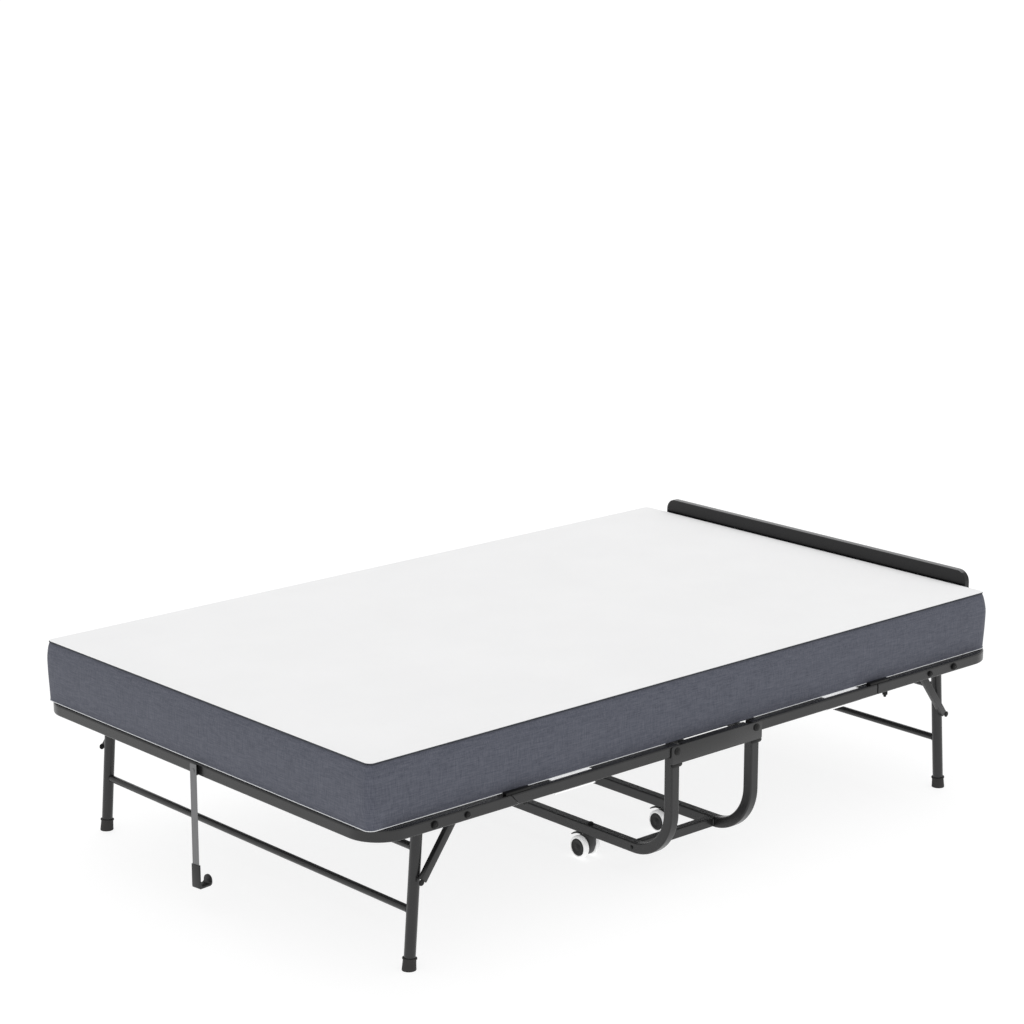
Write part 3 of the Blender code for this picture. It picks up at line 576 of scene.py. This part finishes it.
def deck(name, x_low, x_high, bars, half, body):
    parts = []
    for web_x, flange, width in bars:
        t = 0.0022
        high = DECK_TOP - SLAT_T - 0.00005
        low = DECK_TOP - 0.020
        r = 0.0022
        tip = web_x + flange * width
        outline = [(web_x, low), (web_x + flange * t, low), (web_x + flange * t, high - t - 0.001),
                   (web_x + flange * (t + 0.001), high - t), (tip, high - t), (tip, high),
                   (web_x + flange * r, high), (web_x + flange * r * 0.3, high - r * 0.3), (web_x, high - r)]
        parts.append((prism(outline, 1, -half, half, bevel=0.0004, segments=1), 0))
        for y in SLAT_YS:
            for dy in (-0.026, 0.026):
                centre = (web_x + flange * (width * 0.58), y + dy, high - t + 0.0002)
                parts.append((bolt_head(centre, (0, 0, -1), 0.0036, 0.0016, 12), 1))
    for y in SLAT_YS:
        parts.append((slat(x_low, x_high, y), 0))
    piece(name + "_shape", joined(*parts), [DECK_COAT, BOLT], body, [name])


def make_decks():
    deck("center_deck", CENTRE_X - 0.100, CENTRE_X + 0.100,
         [(CENTRE_X - 0.100, 1, 0.020), (CENTRE_X + 0.100, -1, 0.020)], RAIL_OUT - 0.0206, "base")
    for end, sign in ENDS.items():
        spans = {"end": (0.600, END_FACE[end] - TUBE - 0.0006, [(0.600, 1), (0.857, -1)]),
                 "mid": (0.190, 0.525, [(0.190, 1), (0.345, 1), (0.525, -1)])}
        for part, (inner, outer, bars) in spans.items():
            xs = sorted((bed_x(end, inner), bed_x(end, outer)))
            rows = [(bed_x(end, out), sign * direction, 0.020) for out, direction in bars]
            deck("{}_{}_deck".format(end, part), *xs, rows, RAIL_OUT - TUBE - GAP, end + "_half")


# ---------------------------------------------------------------- folding halves
def slant(bm, end):
    """Shear the tube end at the seam."""
    seam = bed_x(end, SEAM[end])
    for v in bm.verts:
        if abs(v.co.x - seam) < 0.0035:
            v.co.x -= SEAM_SLANT[end] * (v.co.z - HINGE_Z)


def make_half(end):
    body = end + "_half"
    line = RAIL_OUT - TUBE / 2
    radius = CORNER_R - TUBE / 2
    centre_out = END_FACE[end] - CORNER_R
    flat = [(SEAM[end] + SEAM_GAP[end], -line), *arc((centre_out, -line + radius), radius, 270, 360, 16),
            *arc((centre_out, line - radius), radius, 0, 90, 16), (SEAM[end] + SEAM_GAP[end], line)]
    bow = sweep([(bed_x(end, out), y, HINGE_Z) for out, y in flat], (0, 0, 1), SQUARE)
    slant(bow, end)
    piece(end + "_end_tube_shape", bow, COAT, body, [end + "_end_tube"])

    for side_name, side in SIDES.items():
        y = side * line
        name = "{}_rail_{}".format(end, side_name)
        reach = (RAIL_INNER_END, SEAM[end] - SEAM_GAP[end])
        rail = sweep([(bed_x(end, out), y, HINGE_Z) for out in reach], (0, 0, 1), SQUARE)
        slant(rail, end)
        face = side * RAIL_OUT
        bolts = []
        for out, r, height in ((LEG_PIVOT_OUT, 0.0088, 0.0068), (BRACE_PIVOT_OUT, 0.0072, 0.0060)):
            bolts.append(bolt_head((bed_x(end, out), face, HINGE_Z), (0, side, 0), r, height))
        *splice_ends, nut_out, nut_height = SPLICE[end]
        nut_top = (bed_x(end, nut_out), y, HINGE_Z - TUBE / 2 + 0.0002)
        bolts.append(nut(nut_top, (0, 0, -1), 0.0070, nut_height))
        xs = sorted(bed_x(end, out) for out in splice_ends)
        bolts.append(block((xs[0], side * SPLICE_Y[0], DECK_TOP - 0.0010),
                           (xs[1], side * SPLICE_Y[1], DECK_TOP + SPLICE_RISE), 0.0012))
        piece(name + "_shape", joined((rail, 0), *[(b, 1) for b in bolts]), [COAT, BOLT], body,
              [name])
        make_sleeve(end, side_name, side)
        make_brace(end, side_name, side)


def make_sleeve(end, side_name, side):
    """White plastic sleeve clipped round the inner side of the rail, with two shallow ribs."""
    name = "{}_sleeve_{}".format(end, side_name)
    rail_in = RAIL_OUT - TUBE - GAP
    low = HINGE_Z - TUBE / 2 - GAP
    high = HINGE_Z + TUBE / 2 + GAP
    y_in = SLEEVE_Y_IN
    outline = [(y_in + 0.003, low - 0.0025), (RAIL_OUT - 0.001, low - 0.0025), (RAIL_OUT - 0.001, low),
               (rail_in, low), (rail_in, high - 0.0002), (0.5945, high - 0.0002), (0.5945, high + 0.0005),
               (0.5890, high + 0.0005), (0.5884, high + 0.0002), (y_in + 0.003, high + 0.0002),
               (y_in, high - 0.003), (y_in, low + 0.0005)]
    xs = sorted(bed_x(end, out) for out in SLEEVE_OUT)
    shell = prism([(side * y, z) for y, z in outline], 0, *xs, bevel=0.0002)
    ribs = [block((bed_x(end, out - 0.0015), side * 0.5572, low + 0.002),
                  (bed_x(end, out + 0.0015), side * 0.5590, high - 0.005), 0.0005) for out in (0.380, 0.472)]
    piece(name + "_shape", joined(shell, *ribs), WHITE_PLASTIC, end + "_half", [name])


def make_brace(end, side_name, side):
    """Pressed channel, rounded at the rail end, with a bolt at each end."""
    sign = ENDS[end]
    name = "{}_brace_{}".format(end, side_name)
    half, t = BRACE_HALF, BRACE_T
    y_in, y_out = BRACE_Y
    length = BRACE_LENGTH
    pivot = Vector((bed_x(end, BRACE_PIVOT_OUT), 0, HINGE_Z))
    along = Vector((sign * math.cos(BRACE_ANGLE), 0, -math.sin(BRACE_ANGLE)))
    across = Vector((0, 1, 0)).cross(along)
    matrix = Matrix(((along.x, 0, across.x, pivot.x), (0, 1, 0, 0), (along.z, 0, across.z, pivot.z),
                     (0, 0, 0, 1)))
    end_d = length - 0.0065
    r = 0.002
    outline = arc((end_d - r, -half + r), r, -90, 0, 3) + arc((end_d - r, half - r), r, 0, 90, 3)
    outline += arc((0, 0), half, 90, 270, 8)
    web = prism(outline, 1, *sorted((side * y_out, side * (y_out - t))), bevel=0.0005)
    flanges = [block((0.004, side * y_in, s * half),
                     (end_d - 0.0010, side * (y_out - 0.0006), s * (half - t)), 0.0005) for s in (-1, 1)]
    bolts = [bolt_head((d, side * (y_out - 0.0002), a), (0, side, 0), r, 0.0016)
             for d, a, r in ((0.0, 0.0, 0.0058), (length - 0.0025, -sign * 0.0040, 0.0070))]
    bm = joined(*[(m, 0) for m in [web, *flanges]], *[(b, 1) for b in bolts])
    piece(name + "_shape", moved(bm, matrix), [COAT, BOLT], NODE_BODY[name], [name])


def make_legs(end):
    body = end + "_legs"
    length = HINGE_Z / math.cos(LEG_TILT)
    down = (leg_point(end, 1.0) - leg_point(end, 0.0)).normalized()
    parts = []
    for side in SIDES.values():
        y = side * LEG_Y
        parts.append((rod(leg_point(end, -0.004, y), leg_point(end, length - 0.0055, y), LEG_R, 32), 0))
        spacer = leg_point(end, 0.0, y + side * 0.008), leg_point(end, 0.0, side * 0.5813)
        parts.append((rod(*spacer, 0.0075, 20), 0))
        inner_face = leg_point(end, 0.0, side * (LEG_Y - LEG_R + 0.0006))
        parts.append((bolt_head(inner_face, (0, -side, 0), 0.006, 0.0030), 1))
    for place in CROSSBARS_DOWN:
        reach = LEG_Y - 0.006
        parts.append((rod(leg_point(end, place, -reach), leg_point(end, place, reach), 0.008, 28), 0))
        for side in SIDES.values():
            weld = leg_point(end, place, side * (LEG_Y - LEG_R + 0.0012))
            parts.append((bead(weld, (0, 1, 0), 0.0082, 0.0013), 0))
    piece(end + "_leg_frame_shape", joined(*parts), [COAT, BOLT], body, [end + "_leg_frame"])
    for side_name, side in SIDES.items():
        top = leg_point(end, length - 0.0265, side * LEG_Y)
        profile = [(0.0002, 0.0128), (0.0, 0.0149), (0.0006, 0.0156), (0.0026, 0.0158), (0.0034, 0.0148),
                   (0.0042, 0.0141), (0.010, 0.0143), (0.020, 0.0149), (0.0245, 0.0153)]
        bm = turned(profile + [(0.0300, 0.0153)], top, down, 32)
        for v in bm.verts:
            if (v.co - top).dot(down) > 0.0270:
                v.co -= down * (v.co.z / down.z)
        name = "{}_rubber_{}".format(end, side_name)
        piece(name + "_shape", bm, RUBBER, body, [name])


# ---------------------------------------------------------------- headboard
def make_headboard():
    back = bed_x("head", END_FACE["head"])
    front = back - BOARD_T

    def ring(inset, x):
        half = BOARD_HALF - inset
        low, high = BOARD_Z[0] + inset, BOARD_Z[1] - inset
        r = max(0.0285 - inset, 0.004)
        s = 0.004
        points = arc((-half + s, low + s), s, 180, 270, 3) + arc((half - s, low + s), s, 270, 360, 3)
        points += arc((half - r, high - r), r, 0, 90, 10) + arc((-half + r, high - r), r, 90, 180, 10)
        return [(x, y, z) for y, z in points]
    rim = 0.009
    outside = [(0.0030, front), (0.0020, front), (0.0010, front + 0.0002), (0.0002, front + 0.0010),
               (0.0, front + 0.0020), (0.0, front + 0.0042), (0.0, back - 0.0032), (0.0, back - 0.0026),
               (0.0008, back - 0.0008), (0.0026, back), (0.0032, back)]
    recess = [(rim - 0.0012, back), (rim - 0.0003, back - 0.0006), (rim, back - 0.0016),
              (rim, front + 0.0042)]
    rings = [ring(inset, x) for inset, x in outside + recess]
    tray = loft(rings)
    for face in tray.faces:
        # Top-facing faces near the top take the lighter material: a painted highlight on the rim's top.
        face.material_index = int(face.normal.z > 0.7 and face.calc_center_median().z > 0.508)
    piece("headboard_frame_shape", tray, [BOARD_BLACK, BOARD_PAINTED_HIGHLIGHT], "head_half",
          ["headboard_frame"])
    start = front + 0.0043
    steps = [(0.0003, 0.0), (0.0003, 0.0030), (0.0012, 0.0040), (0.010, 0.0040), (0.0115, 0.0031),
             (0.013, 0.0040), (0.020, 0.0040)]
    rings = [ring(rim + inset, start + depth) for inset, depth in steps]
    piece("headboard_panel_shape", loft(rings), BOARD_GREY, "head_half", ["headboard_panel"])


# ---------------------------------------------------------------- latch
def make_latch():
    origin = Vector((bed_x("foot", LATCH_OUT), LATCH_Y, HINGE_Z))
    pin = Vector((math.cos(LATCH_TURN), math.sin(LATCH_TURN), 0.0))
    side = Vector((-pin.y, pin.x, 0.0))
    matrix = Matrix(((pin.x, side.x, 0, origin.x), (pin.y, side.y, 0, origin.y), (0, 0, 1, origin.z),
                     (0, 0, 0, 1)))
    t = 0.0008
    blade = [(-0.010, 0.104 - HINGE_Z), (0.010, 0.104 - HINGE_Z)]
    blade += arc((0.0085, 0.0130), 0.0015, 0, 90, 4) + arc((-0.0085, 0.0130), 0.0015, 90, 180, 4)
    strap = prism(blade, 0, -t, t, bevel=0.0004, segments=1)
    piece("latch_strap_shape", moved(strap, matrix), STEEL, "latch", ["latch_strap"])
    reach, low, tip, high = 0.0358, 0.055 - HINGE_Z, 0.078 - HINGE_Z, 0.110 - HINGE_Z
    outline = [(-0.0022, low + 0.005), (-0.0014, low + 0.0018), (0.0012, low), (reach - 0.006, low),
               (reach - 0.0018, low + 0.0018), (reach, low + 0.006), (reach, low + 0.0115),
               (reach - 0.0042, low + 0.0115), (reach - 0.0042, low + 0.008),
               (reach - 0.0075, low + 0.0048), (0.0075, low + 0.0048), (0.0040, low + 0.0085),
               (0.0026, low + 0.014), (0.0024, high), (-0.0022, high)]
    hook = prism(outline, 1, -0.012, 0.012, bevel=0.0007, segments=2)
    round_tip = [(-0.0119, low + 0.0090), (0.0119, low + 0.0090)] + arc((0, tip - 0.0119), 0.0119, 0, 180, 14)
    hook = joined(hook, prism(round_tip, 0, reach - 0.0040, reach - 0.0002, bevel=0.0005))
    piece("latch_hook_shape", moved(hook, matrix), BLACK_PLASTIC, "latch", ["latch_hook"])
    stand_off = (LATCH_OUT - END_FACE["foot"]) / pin.x
    saddle = block((t + GAP, -0.0060, -0.0118), (stand_off - 0.0008, 0.0060, 0.0118), 0.0008)
    shank = turned([(-t - GAP, 0.003), (t + 0.002, 0.003)], (0, 0, 0), (1, 0, 0), 16)
    head = bolt_head((-t - GAP + 0.0004, 0, 0), (-1, 0, 0), 0.0050, 0.0018)
    rivet = joined((saddle, 0), (shank, 1), (head, 1))
    piece("latch_rivet_shape", moved(rivet, matrix), [BOLT, STEEL], "foot_half",
          ["latch_rivet"])


# ---------------------------------------------------------------- castors
def make_castor(end, side_name):
    label = "castor_{}_{}".format(end, side_name)
    x = bed_x(end, U_X)
    stem_y = SIDES[side_name] * STEM_Y
    axle_y, axle_z, wheel_r = stem_y + 0.018, WHEEL_R, WHEEL_R
    crown = [(axle_y + a, axle_z + b) for a, b in arc((0, 0), wheel_r - 0.0008, 86, 40, 6)]
    lower = [(axle_y + a, axle_z + b) for a, b in arc((0, 0), wheel_r * 0.84, 20, -160, 12)]
    top = U_LOW - GAP
    outline = [(stem_y - 0.0085, top), (stem_y + 0.0085, top), *crown, *lower,
               (stem_y - 0.0085, wheel_r + 0.006)]
    fork = prism(outline, 0, x - 0.0096, x + 0.0096, bevel=0.0006)
    axle = [bolt_head((x + s * 0.0256, axle_y, axle_z), (s, 0, 0), 0.0042, 0.0011, 16) for s in (-1, 1)]
    cup = turned([(0.0, 0.0085), (0.0008, 0.0098), (0.0030, 0.0098), (0.0034, 0.0092)],
                 (x, stem_y, top - 0.0034), (0, 0, 1), 20)
    name = label + "_fork"
    piece(name + "_shape", joined(fork, cup), BLACK_PLASTIC, NODE_BODY[name], [name])
    parts = [(a, 1) for a in axle]
    for s in (-1, 1):
        a, b = 0.0106, 0.0255
        tyre = [(a, 0.0030), (a, 0.0180), (a, wheel_r - 0.0035), (a + 0.0008, wheel_r - 0.0012),
                (a + 0.0026, wheel_r), (b - 0.0060, wheel_r), (b - 0.0028, wheel_r - 0.0009),
                (b - 0.0010, wheel_r - 0.0030), (b - 0.0004, wheel_r - 0.0046),
                (b - 0.0010, wheel_r - 0.0058), (b - 0.0024, wheel_r - 0.0060)]
        disc = [(b - 0.0040, 0.0204), (b - 0.0014, 0.0202), (b - 0.0005, 0.0194), (b - 0.0002, 0.0180),
                (b - 0.0004, 0.0130), (b - 0.0010, 0.0122), (b - 0.0010, 0.0078), (b - 0.0002, 0.0070),
                (b + 0.0001, 0.0050)]
        centre = (x, axle_y, axle_z)
        parts.append((turned([(s * d, r) for d, r in tyre], centre, (1, 0, 0), 40), 0))
        parts.append((turned([(s * d, r) for d, r in disc], centre, (1, 0, 0), 32), 1))
    parts.append((turned([(-0.0250, 0.0029), (0.0250, 0.0029)], (x, axle_y, axle_z), (1, 0, 0), 12), 1))
    name = label + "_wheels"
    piece(name + "_shape", joined(*parts), [WHEEL_WHITE, HUB_GREY], NODE_BODY[name], [name])
    y, z = axle_y + 0.005, 0.0540
    paddle = [(-0.0010, -0.0008), (0.006, -0.0009), (0.012, -0.0016), (0.020, -0.0044), (0.027, -0.0078),
              (0.0302, -0.0086), (0.0306, -0.0068), (0.023, -0.0016), (0.014, 0.0017), (0.007, 0.0023),
              (0.0, 0.0022), (-0.0016, 0.0010)]
    paddle = [(y + a, z + b) for a, b in paddle]
    lever = prism(paddle, 0, x - 0.011, x + 0.011, bevel=0.0005)
    name = label + "_brake_lever"
    piece(label + "_lever_shape", lever, BLACK_PLASTIC, NODE_BODY[name], [name])


# ---------------------------------------------------------------- mattress
MATTRESS_X = CENTRE_X - 0.0055
MATTRESS_L, MATTRESS_W = 0.9655, 0.5895
MATTRESS_R = 0.022
MATTRESS_CUTS = [CENTRE_X - 0.140, CENTRE_X, CENTRE_X + 0.140]
CROWN = 0.0015
PUFF_FRAMES = 12
PUFF_CAP = 0.0022
TOP, SEAM_ROW, SIDE_ROW, PIPE_ROW, UNDER = range(5)
# Side of the mattress from the top edge down.  For each kind of row: heights, and insets from the widest line
PROFILE = [(z, inset, kind) for kind, row in (
    (TOP, [(0.4802, 0.0130), (0.4800, 0.0102), (0.4796, 0.0082)]),
    (SEAM_ROW, [(0.4789, 0.0070), (0.4782, 0.0060), (0.4771, 0.0055), (0.4760, 0.0060)]),
    (SIDE_ROW, [(0.4751, 0.0072), (0.4738, 0.0062), (0.4708, 0.0048), (0.4655, 0.0032),
                (0.4575, 0.0016), (0.4470, 0.0005), (0.4350, 0.0000), (0.4240, 0.0000),
                (0.4120, 0.0002), (0.4000, 0.0005), (0.3880, 0.0009), (0.3760, 0.0014),
                (0.3650, 0.0020), (0.3550, 0.0026), (0.3470, 0.0031), (0.3410, 0.0035)]),
    (PIPE_ROW, [(0.3385, 0.0038), (0.3383, 0.0030), (0.3379, 0.0025), (0.3375, 0.0024),
                (0.3371, 0.0028), (0.3368, 0.0036)]),
    (UNDER, [(0.3367, 0.0060)]),
) for z, inset in row]


def lines(half, fixed, step):
    """Grid lines along one axis as (core position, share of the corner radius), with the fixed ones kept."""
    core = half - MATTRESS_R
    stops = [-core, *fixed, core]
    rows = []
    for a, b in zip(stops, stops[1:]):
        count = max(1, round((b - a) / step))
        rows += [(a + (b - a) * i / count, 0.0) for i in range(count)]
    rows.append((core, 0.0))
    shares = (0.25, 0.5, 0.75, 1.0)
    return [(-core, -s) for s in reversed(shares)] + rows + [(core, s) for s in shares]


def build_mattress():
    splits = [cut - MATTRESS_X for cut in MATTRESS_CUTS]
    xs = lines(MATTRESS_L, splits, 0.020)
    ys = lines(MATTRESS_W, [], 0.020)
    nx, ny = len(xs), len(ys)
    verts, faces, kinds = [], [], []

    def at(i, j, inset):
        (cx, u), (cy, v) = xs[i], ys[j]
        r = MATTRESS_R - inset
        return (MATTRESS_X + cx + r * u * math.sqrt(1 - v * v / 2), cy + r * v * math.sqrt(1 - u * u / 2))

    border = [(i, 0) for i in range(nx - 1)] + [(nx - 1, j) for j in range(ny - 1)]
    border += [(i, ny - 1) for i in range(nx - 1, 0, -1)] + [(0, j) for j in range(ny - 1, 0, -1)]
    index = {}

    def face_grid(level, z, inset, kind, flip):
        for i in range(nx):
            for j in range(ny):
                x, y = at(i, j, inset)
                lift = 0.0
                if kind == TOP:
                    a, b = (x - MATTRESS_X) / MATTRESS_L, y / MATTRESS_W
                    lift = CROWN * (1 - a ** 6) * (1 - b ** 6)
                    lift += 0.0009 * noise.noise(Vector((x * 7, y * 7, 1.7))) * (1 - a ** 8) * (1 - b ** 8)
                index[level, i, j] = len(verts)
                verts.append((x, y, z + lift))
        for i in range(nx - 1):
            for j in range(ny - 1):
                loop = [index[level, i, j], index[level, i + 1, j], index[level, i + 1, j + 1],
                        index[level, i, j + 1]]
                faces.append(loop[::-1] if flip else loop)
                kinds.append(kind)
    last = len(PROFILE) - 1
    face_grid(0, PROFILE[0][0], PROFILE[0][1], TOP, False)
    for level in range(1, last):
        z, inset, kind = PROFILE[level]
        for i, j in border:
            x, y = at(i, j, inset)
            if kind == SIDE_ROW:
                ripple = 0.0011 * noise.noise(Vector((x * 5, y * 5, z * 9)))
                ripple += 0.0004 * noise.noise(Vector((x * 22, y * 22, z * 30)))
                out = Vector((xs[i][1] if abs(xs[i][1]) == 1 else 0, ys[j][1] if abs(ys[j][1]) == 1 else 0))
                out = out.normalized() * min(1.0, inset * 400 + 0.4)
                x, y = x + out.x * (ripple - 0.0010), y + out.y * (ripple - 0.0010)
            if kind in (SIDE_ROW, PIPE_ROW) and xs[i][1] > 0:
                beside_board = min(1.0, max(0.0, (abs(y) - 0.520) / 0.030))
                x += 0.0065 * xs[i][1] * beside_board * min(1.0, max(0.0, (0.4755 - z) / 0.045))
            index[level, i, j] = len(verts)
            verts.append((x, y, z))
    face_grid(last, PROFILE[last][0], PROFILE[last][1], UNDER, True)
    for level in range(last):
        kind = PROFILE[level][2]
        for k, a in enumerate(border):
            b = border[(k + 1) % len(border)]
            faces.append([index[level, *a], index[level + 1, *a], index[level + 1, *b], index[level, *b]])
            kinds.append(kind)
    return verts, faces, kinds


def puff(verts, faces):
    """Let air pressure settle the cover over the foam, held at its sewn edges.  Returns the moved points."""
    mesh = bpy.data.meshes.new("mattress_cover")
    mesh.from_pydata(verts, [], faces)
    obj = bpy.data.objects.new("mattress_cover", mesh)
    bpy.context.scene.collection.objects.link(obj)
    group = obj.vertex_groups.new(name="sewn")
    held = [i for i, (*_, z) in enumerate(verts) if z < 0.3420 or 0.4750 < z < 0.4790]
    group.add(held, 1.0, "REPLACE")
    modifier = obj.modifiers.new("cover", "CLOTH")
    cloth = modifier.settings
    cloth.quality = 4
    cloth.mass = 0.4
    cloth.tension_stiffness = 60
    cloth.compression_stiffness = 60
    cloth.bending_stiffness = 6
    cloth.use_pressure = True
    cloth.uniform_pressure_force = 1.5
    cloth.vertex_group_mass = "sewn"
    cloth.effector_weights.gravity = 0
    modifier.collision_settings.use_collision = False
    scene = bpy.context.scene
    modifier.point_cache.frame_start = 1
    modifier.point_cache.frame_end = PUFF_FRAMES
    for number in range(1, PUFF_FRAMES + 1):
        scene.frame_set(number)
    graph = bpy.context.evaluated_depsgraph_get()
    settled = [Vector(v.co) for v in obj.evaluated_get(graph).data.vertices]
    scene.frame_set(1)
    bpy.data.objects.remove(obj)
    result = []
    for old, new in zip(verts, settled):
        move = new - Vector(old)
        if move.length > 1e-9:
            move *= PUFF_CAP / (PUFF_CAP + move.length)
        result.append(tuple(Vector(old) + move))
    return result


def make_mattress():
    verts, faces, kinds = build_mattress()
    middles = [sum(verts[i][0] for i in face) / len(face) for face in faces]
    verts = [(old[0] if any(abs(old[0] - cut) < 1e-6 for cut in MATTRESS_CUTS) else new[0], *new[1:])
             for old, new in zip(verts, puff(verts, faces))]
    names = ["mattress_foot", "mattress_mid_foot", "mattress_mid_head", "mattress_head"]
    homes = ["foot_half", "base", "base", "head_half"]
    materials = [TOP_KNIT, SEAM_CORD_AND_PIPING_SHADE, SIDE_CLOTH, PIPING, UNDER_CLOTH]
    for number, (name, home) in enumerate(zip(names, homes)):
        bm = bmesh.new()
        made = {}
        for face, kind, x in zip(faces, kinds, middles):
            if sum(x > cut for cut in MATTRESS_CUTS) != number:
                continue
            for i in face:
                if i not in made:
                    made[i] = bm.verts.new(verts[i])
            new = bm.faces.new([made[i] for i in face])
            new.material_index = kind
        open_edges = [e for e in bm.edges if e.is_boundary]
        filled = bmesh.ops.holes_fill(bm, edges=open_edges, sides=0)["faces"]
        for face in filled:
            face.material_index = UNDER
        bmesh.ops.recalc_face_normals(bm, faces=bm.faces)
        # The middle pieces carry the dark seam cloth in place of the light piping: painted shade that darkens
        # the piping over the middle.
        cloths = [SEAM_CORD_AND_PIPING_SHADE if m is PIPING else m for m in materials] if "mid" in name else materials
        block_obj = piece(name + "_cover", bm, cloths, None, sharp=60)
        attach(block_obj, home)
        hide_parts(name)
        if "mid" in name:
            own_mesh(block_obj)
        else:
            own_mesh(block_obj)


# ---------------------------------------------------------------- room, light and camera
def make_room():
    size = 100.0
    bm = bmesh.new()
    corners = ((-1, -1), (1, -1), (1, 1), (-1, 1))
    bm.faces.new([bm.verts.new((size * a, size * b, -0.0002)) for a, b in corners])
    mesh = bpy.data.meshes.new("floor")
    bm.to_mesh(mesh)
    bm.free()
    floor = bpy.data.objects.new("floor", mesh)
    bpy.context.scene.collection.objects.link(floor)
    material, _, _, shader = new_material("pale_floor")
    shader.inputs["Base Color"].default_value = (0.26, 0.26, 0.26, 1.0)
    shader.inputs["Roughness"].default_value = 0.9
    shader.inputs["Specular IOR Level"].default_value = 0.0
    shader.inputs["Emission Color"].default_value = (1.0, 1.0, 1.0, 1.0)
    shader.inputs["Emission Strength"].default_value = 0.82
    mesh.materials.append(material)

    world = bpy.data.worlds.new("studio")
    world.use_nodes = True
    background = world.node_tree.nodes["Background"]
    background.inputs["Color"].default_value = (1.0, 1.0, 1.0, 1.0)
    background.inputs["Strength"].default_value = 0.80
    bpy.context.scene.world = world
    suns = (("key_sun", 0.6, 50, (-28, 24, 0)), ("fill_sun", 0.25, 80, (35, -40, 0)))
    for name, strength, angle, tilt in suns:
        light = bpy.data.lights.new(name, "SUN")
        light.energy = strength
        light.angle = math.radians(angle)
        lamp = bpy.data.objects.new(name, light)
        lamp.rotation_euler = [math.radians(a) for a in tilt]
        bpy.context.scene.collection.objects.link(lamp)

    camera = bpy.data.cameras.new("camera")
    camera.lens = 97.39
    camera.sensor_width = 36.0
    camera.clip_end = 300.0
    viewer = bpy.data.objects.new("camera", camera)
    viewer.location = (-4.2133, -4.6374, 2.2704)
    viewer.rotation_euler = (math.radians(90 - 13.828), 0.0, math.radians(-41.856))
    bpy.context.scene.collection.objects.link(viewer)
    bpy.context.scene.camera = viewer
    bpy.context.scene.view_settings.view_transform = "Standard"


make_room()
make_trolley()
make_decks()
for end_name in ENDS:
    make_half(end_name)
    make_legs(end_name)
    for side_key in SIDES:
        make_castor(end_name, side_key)
make_headboard()
make_latch()
make_mattress()
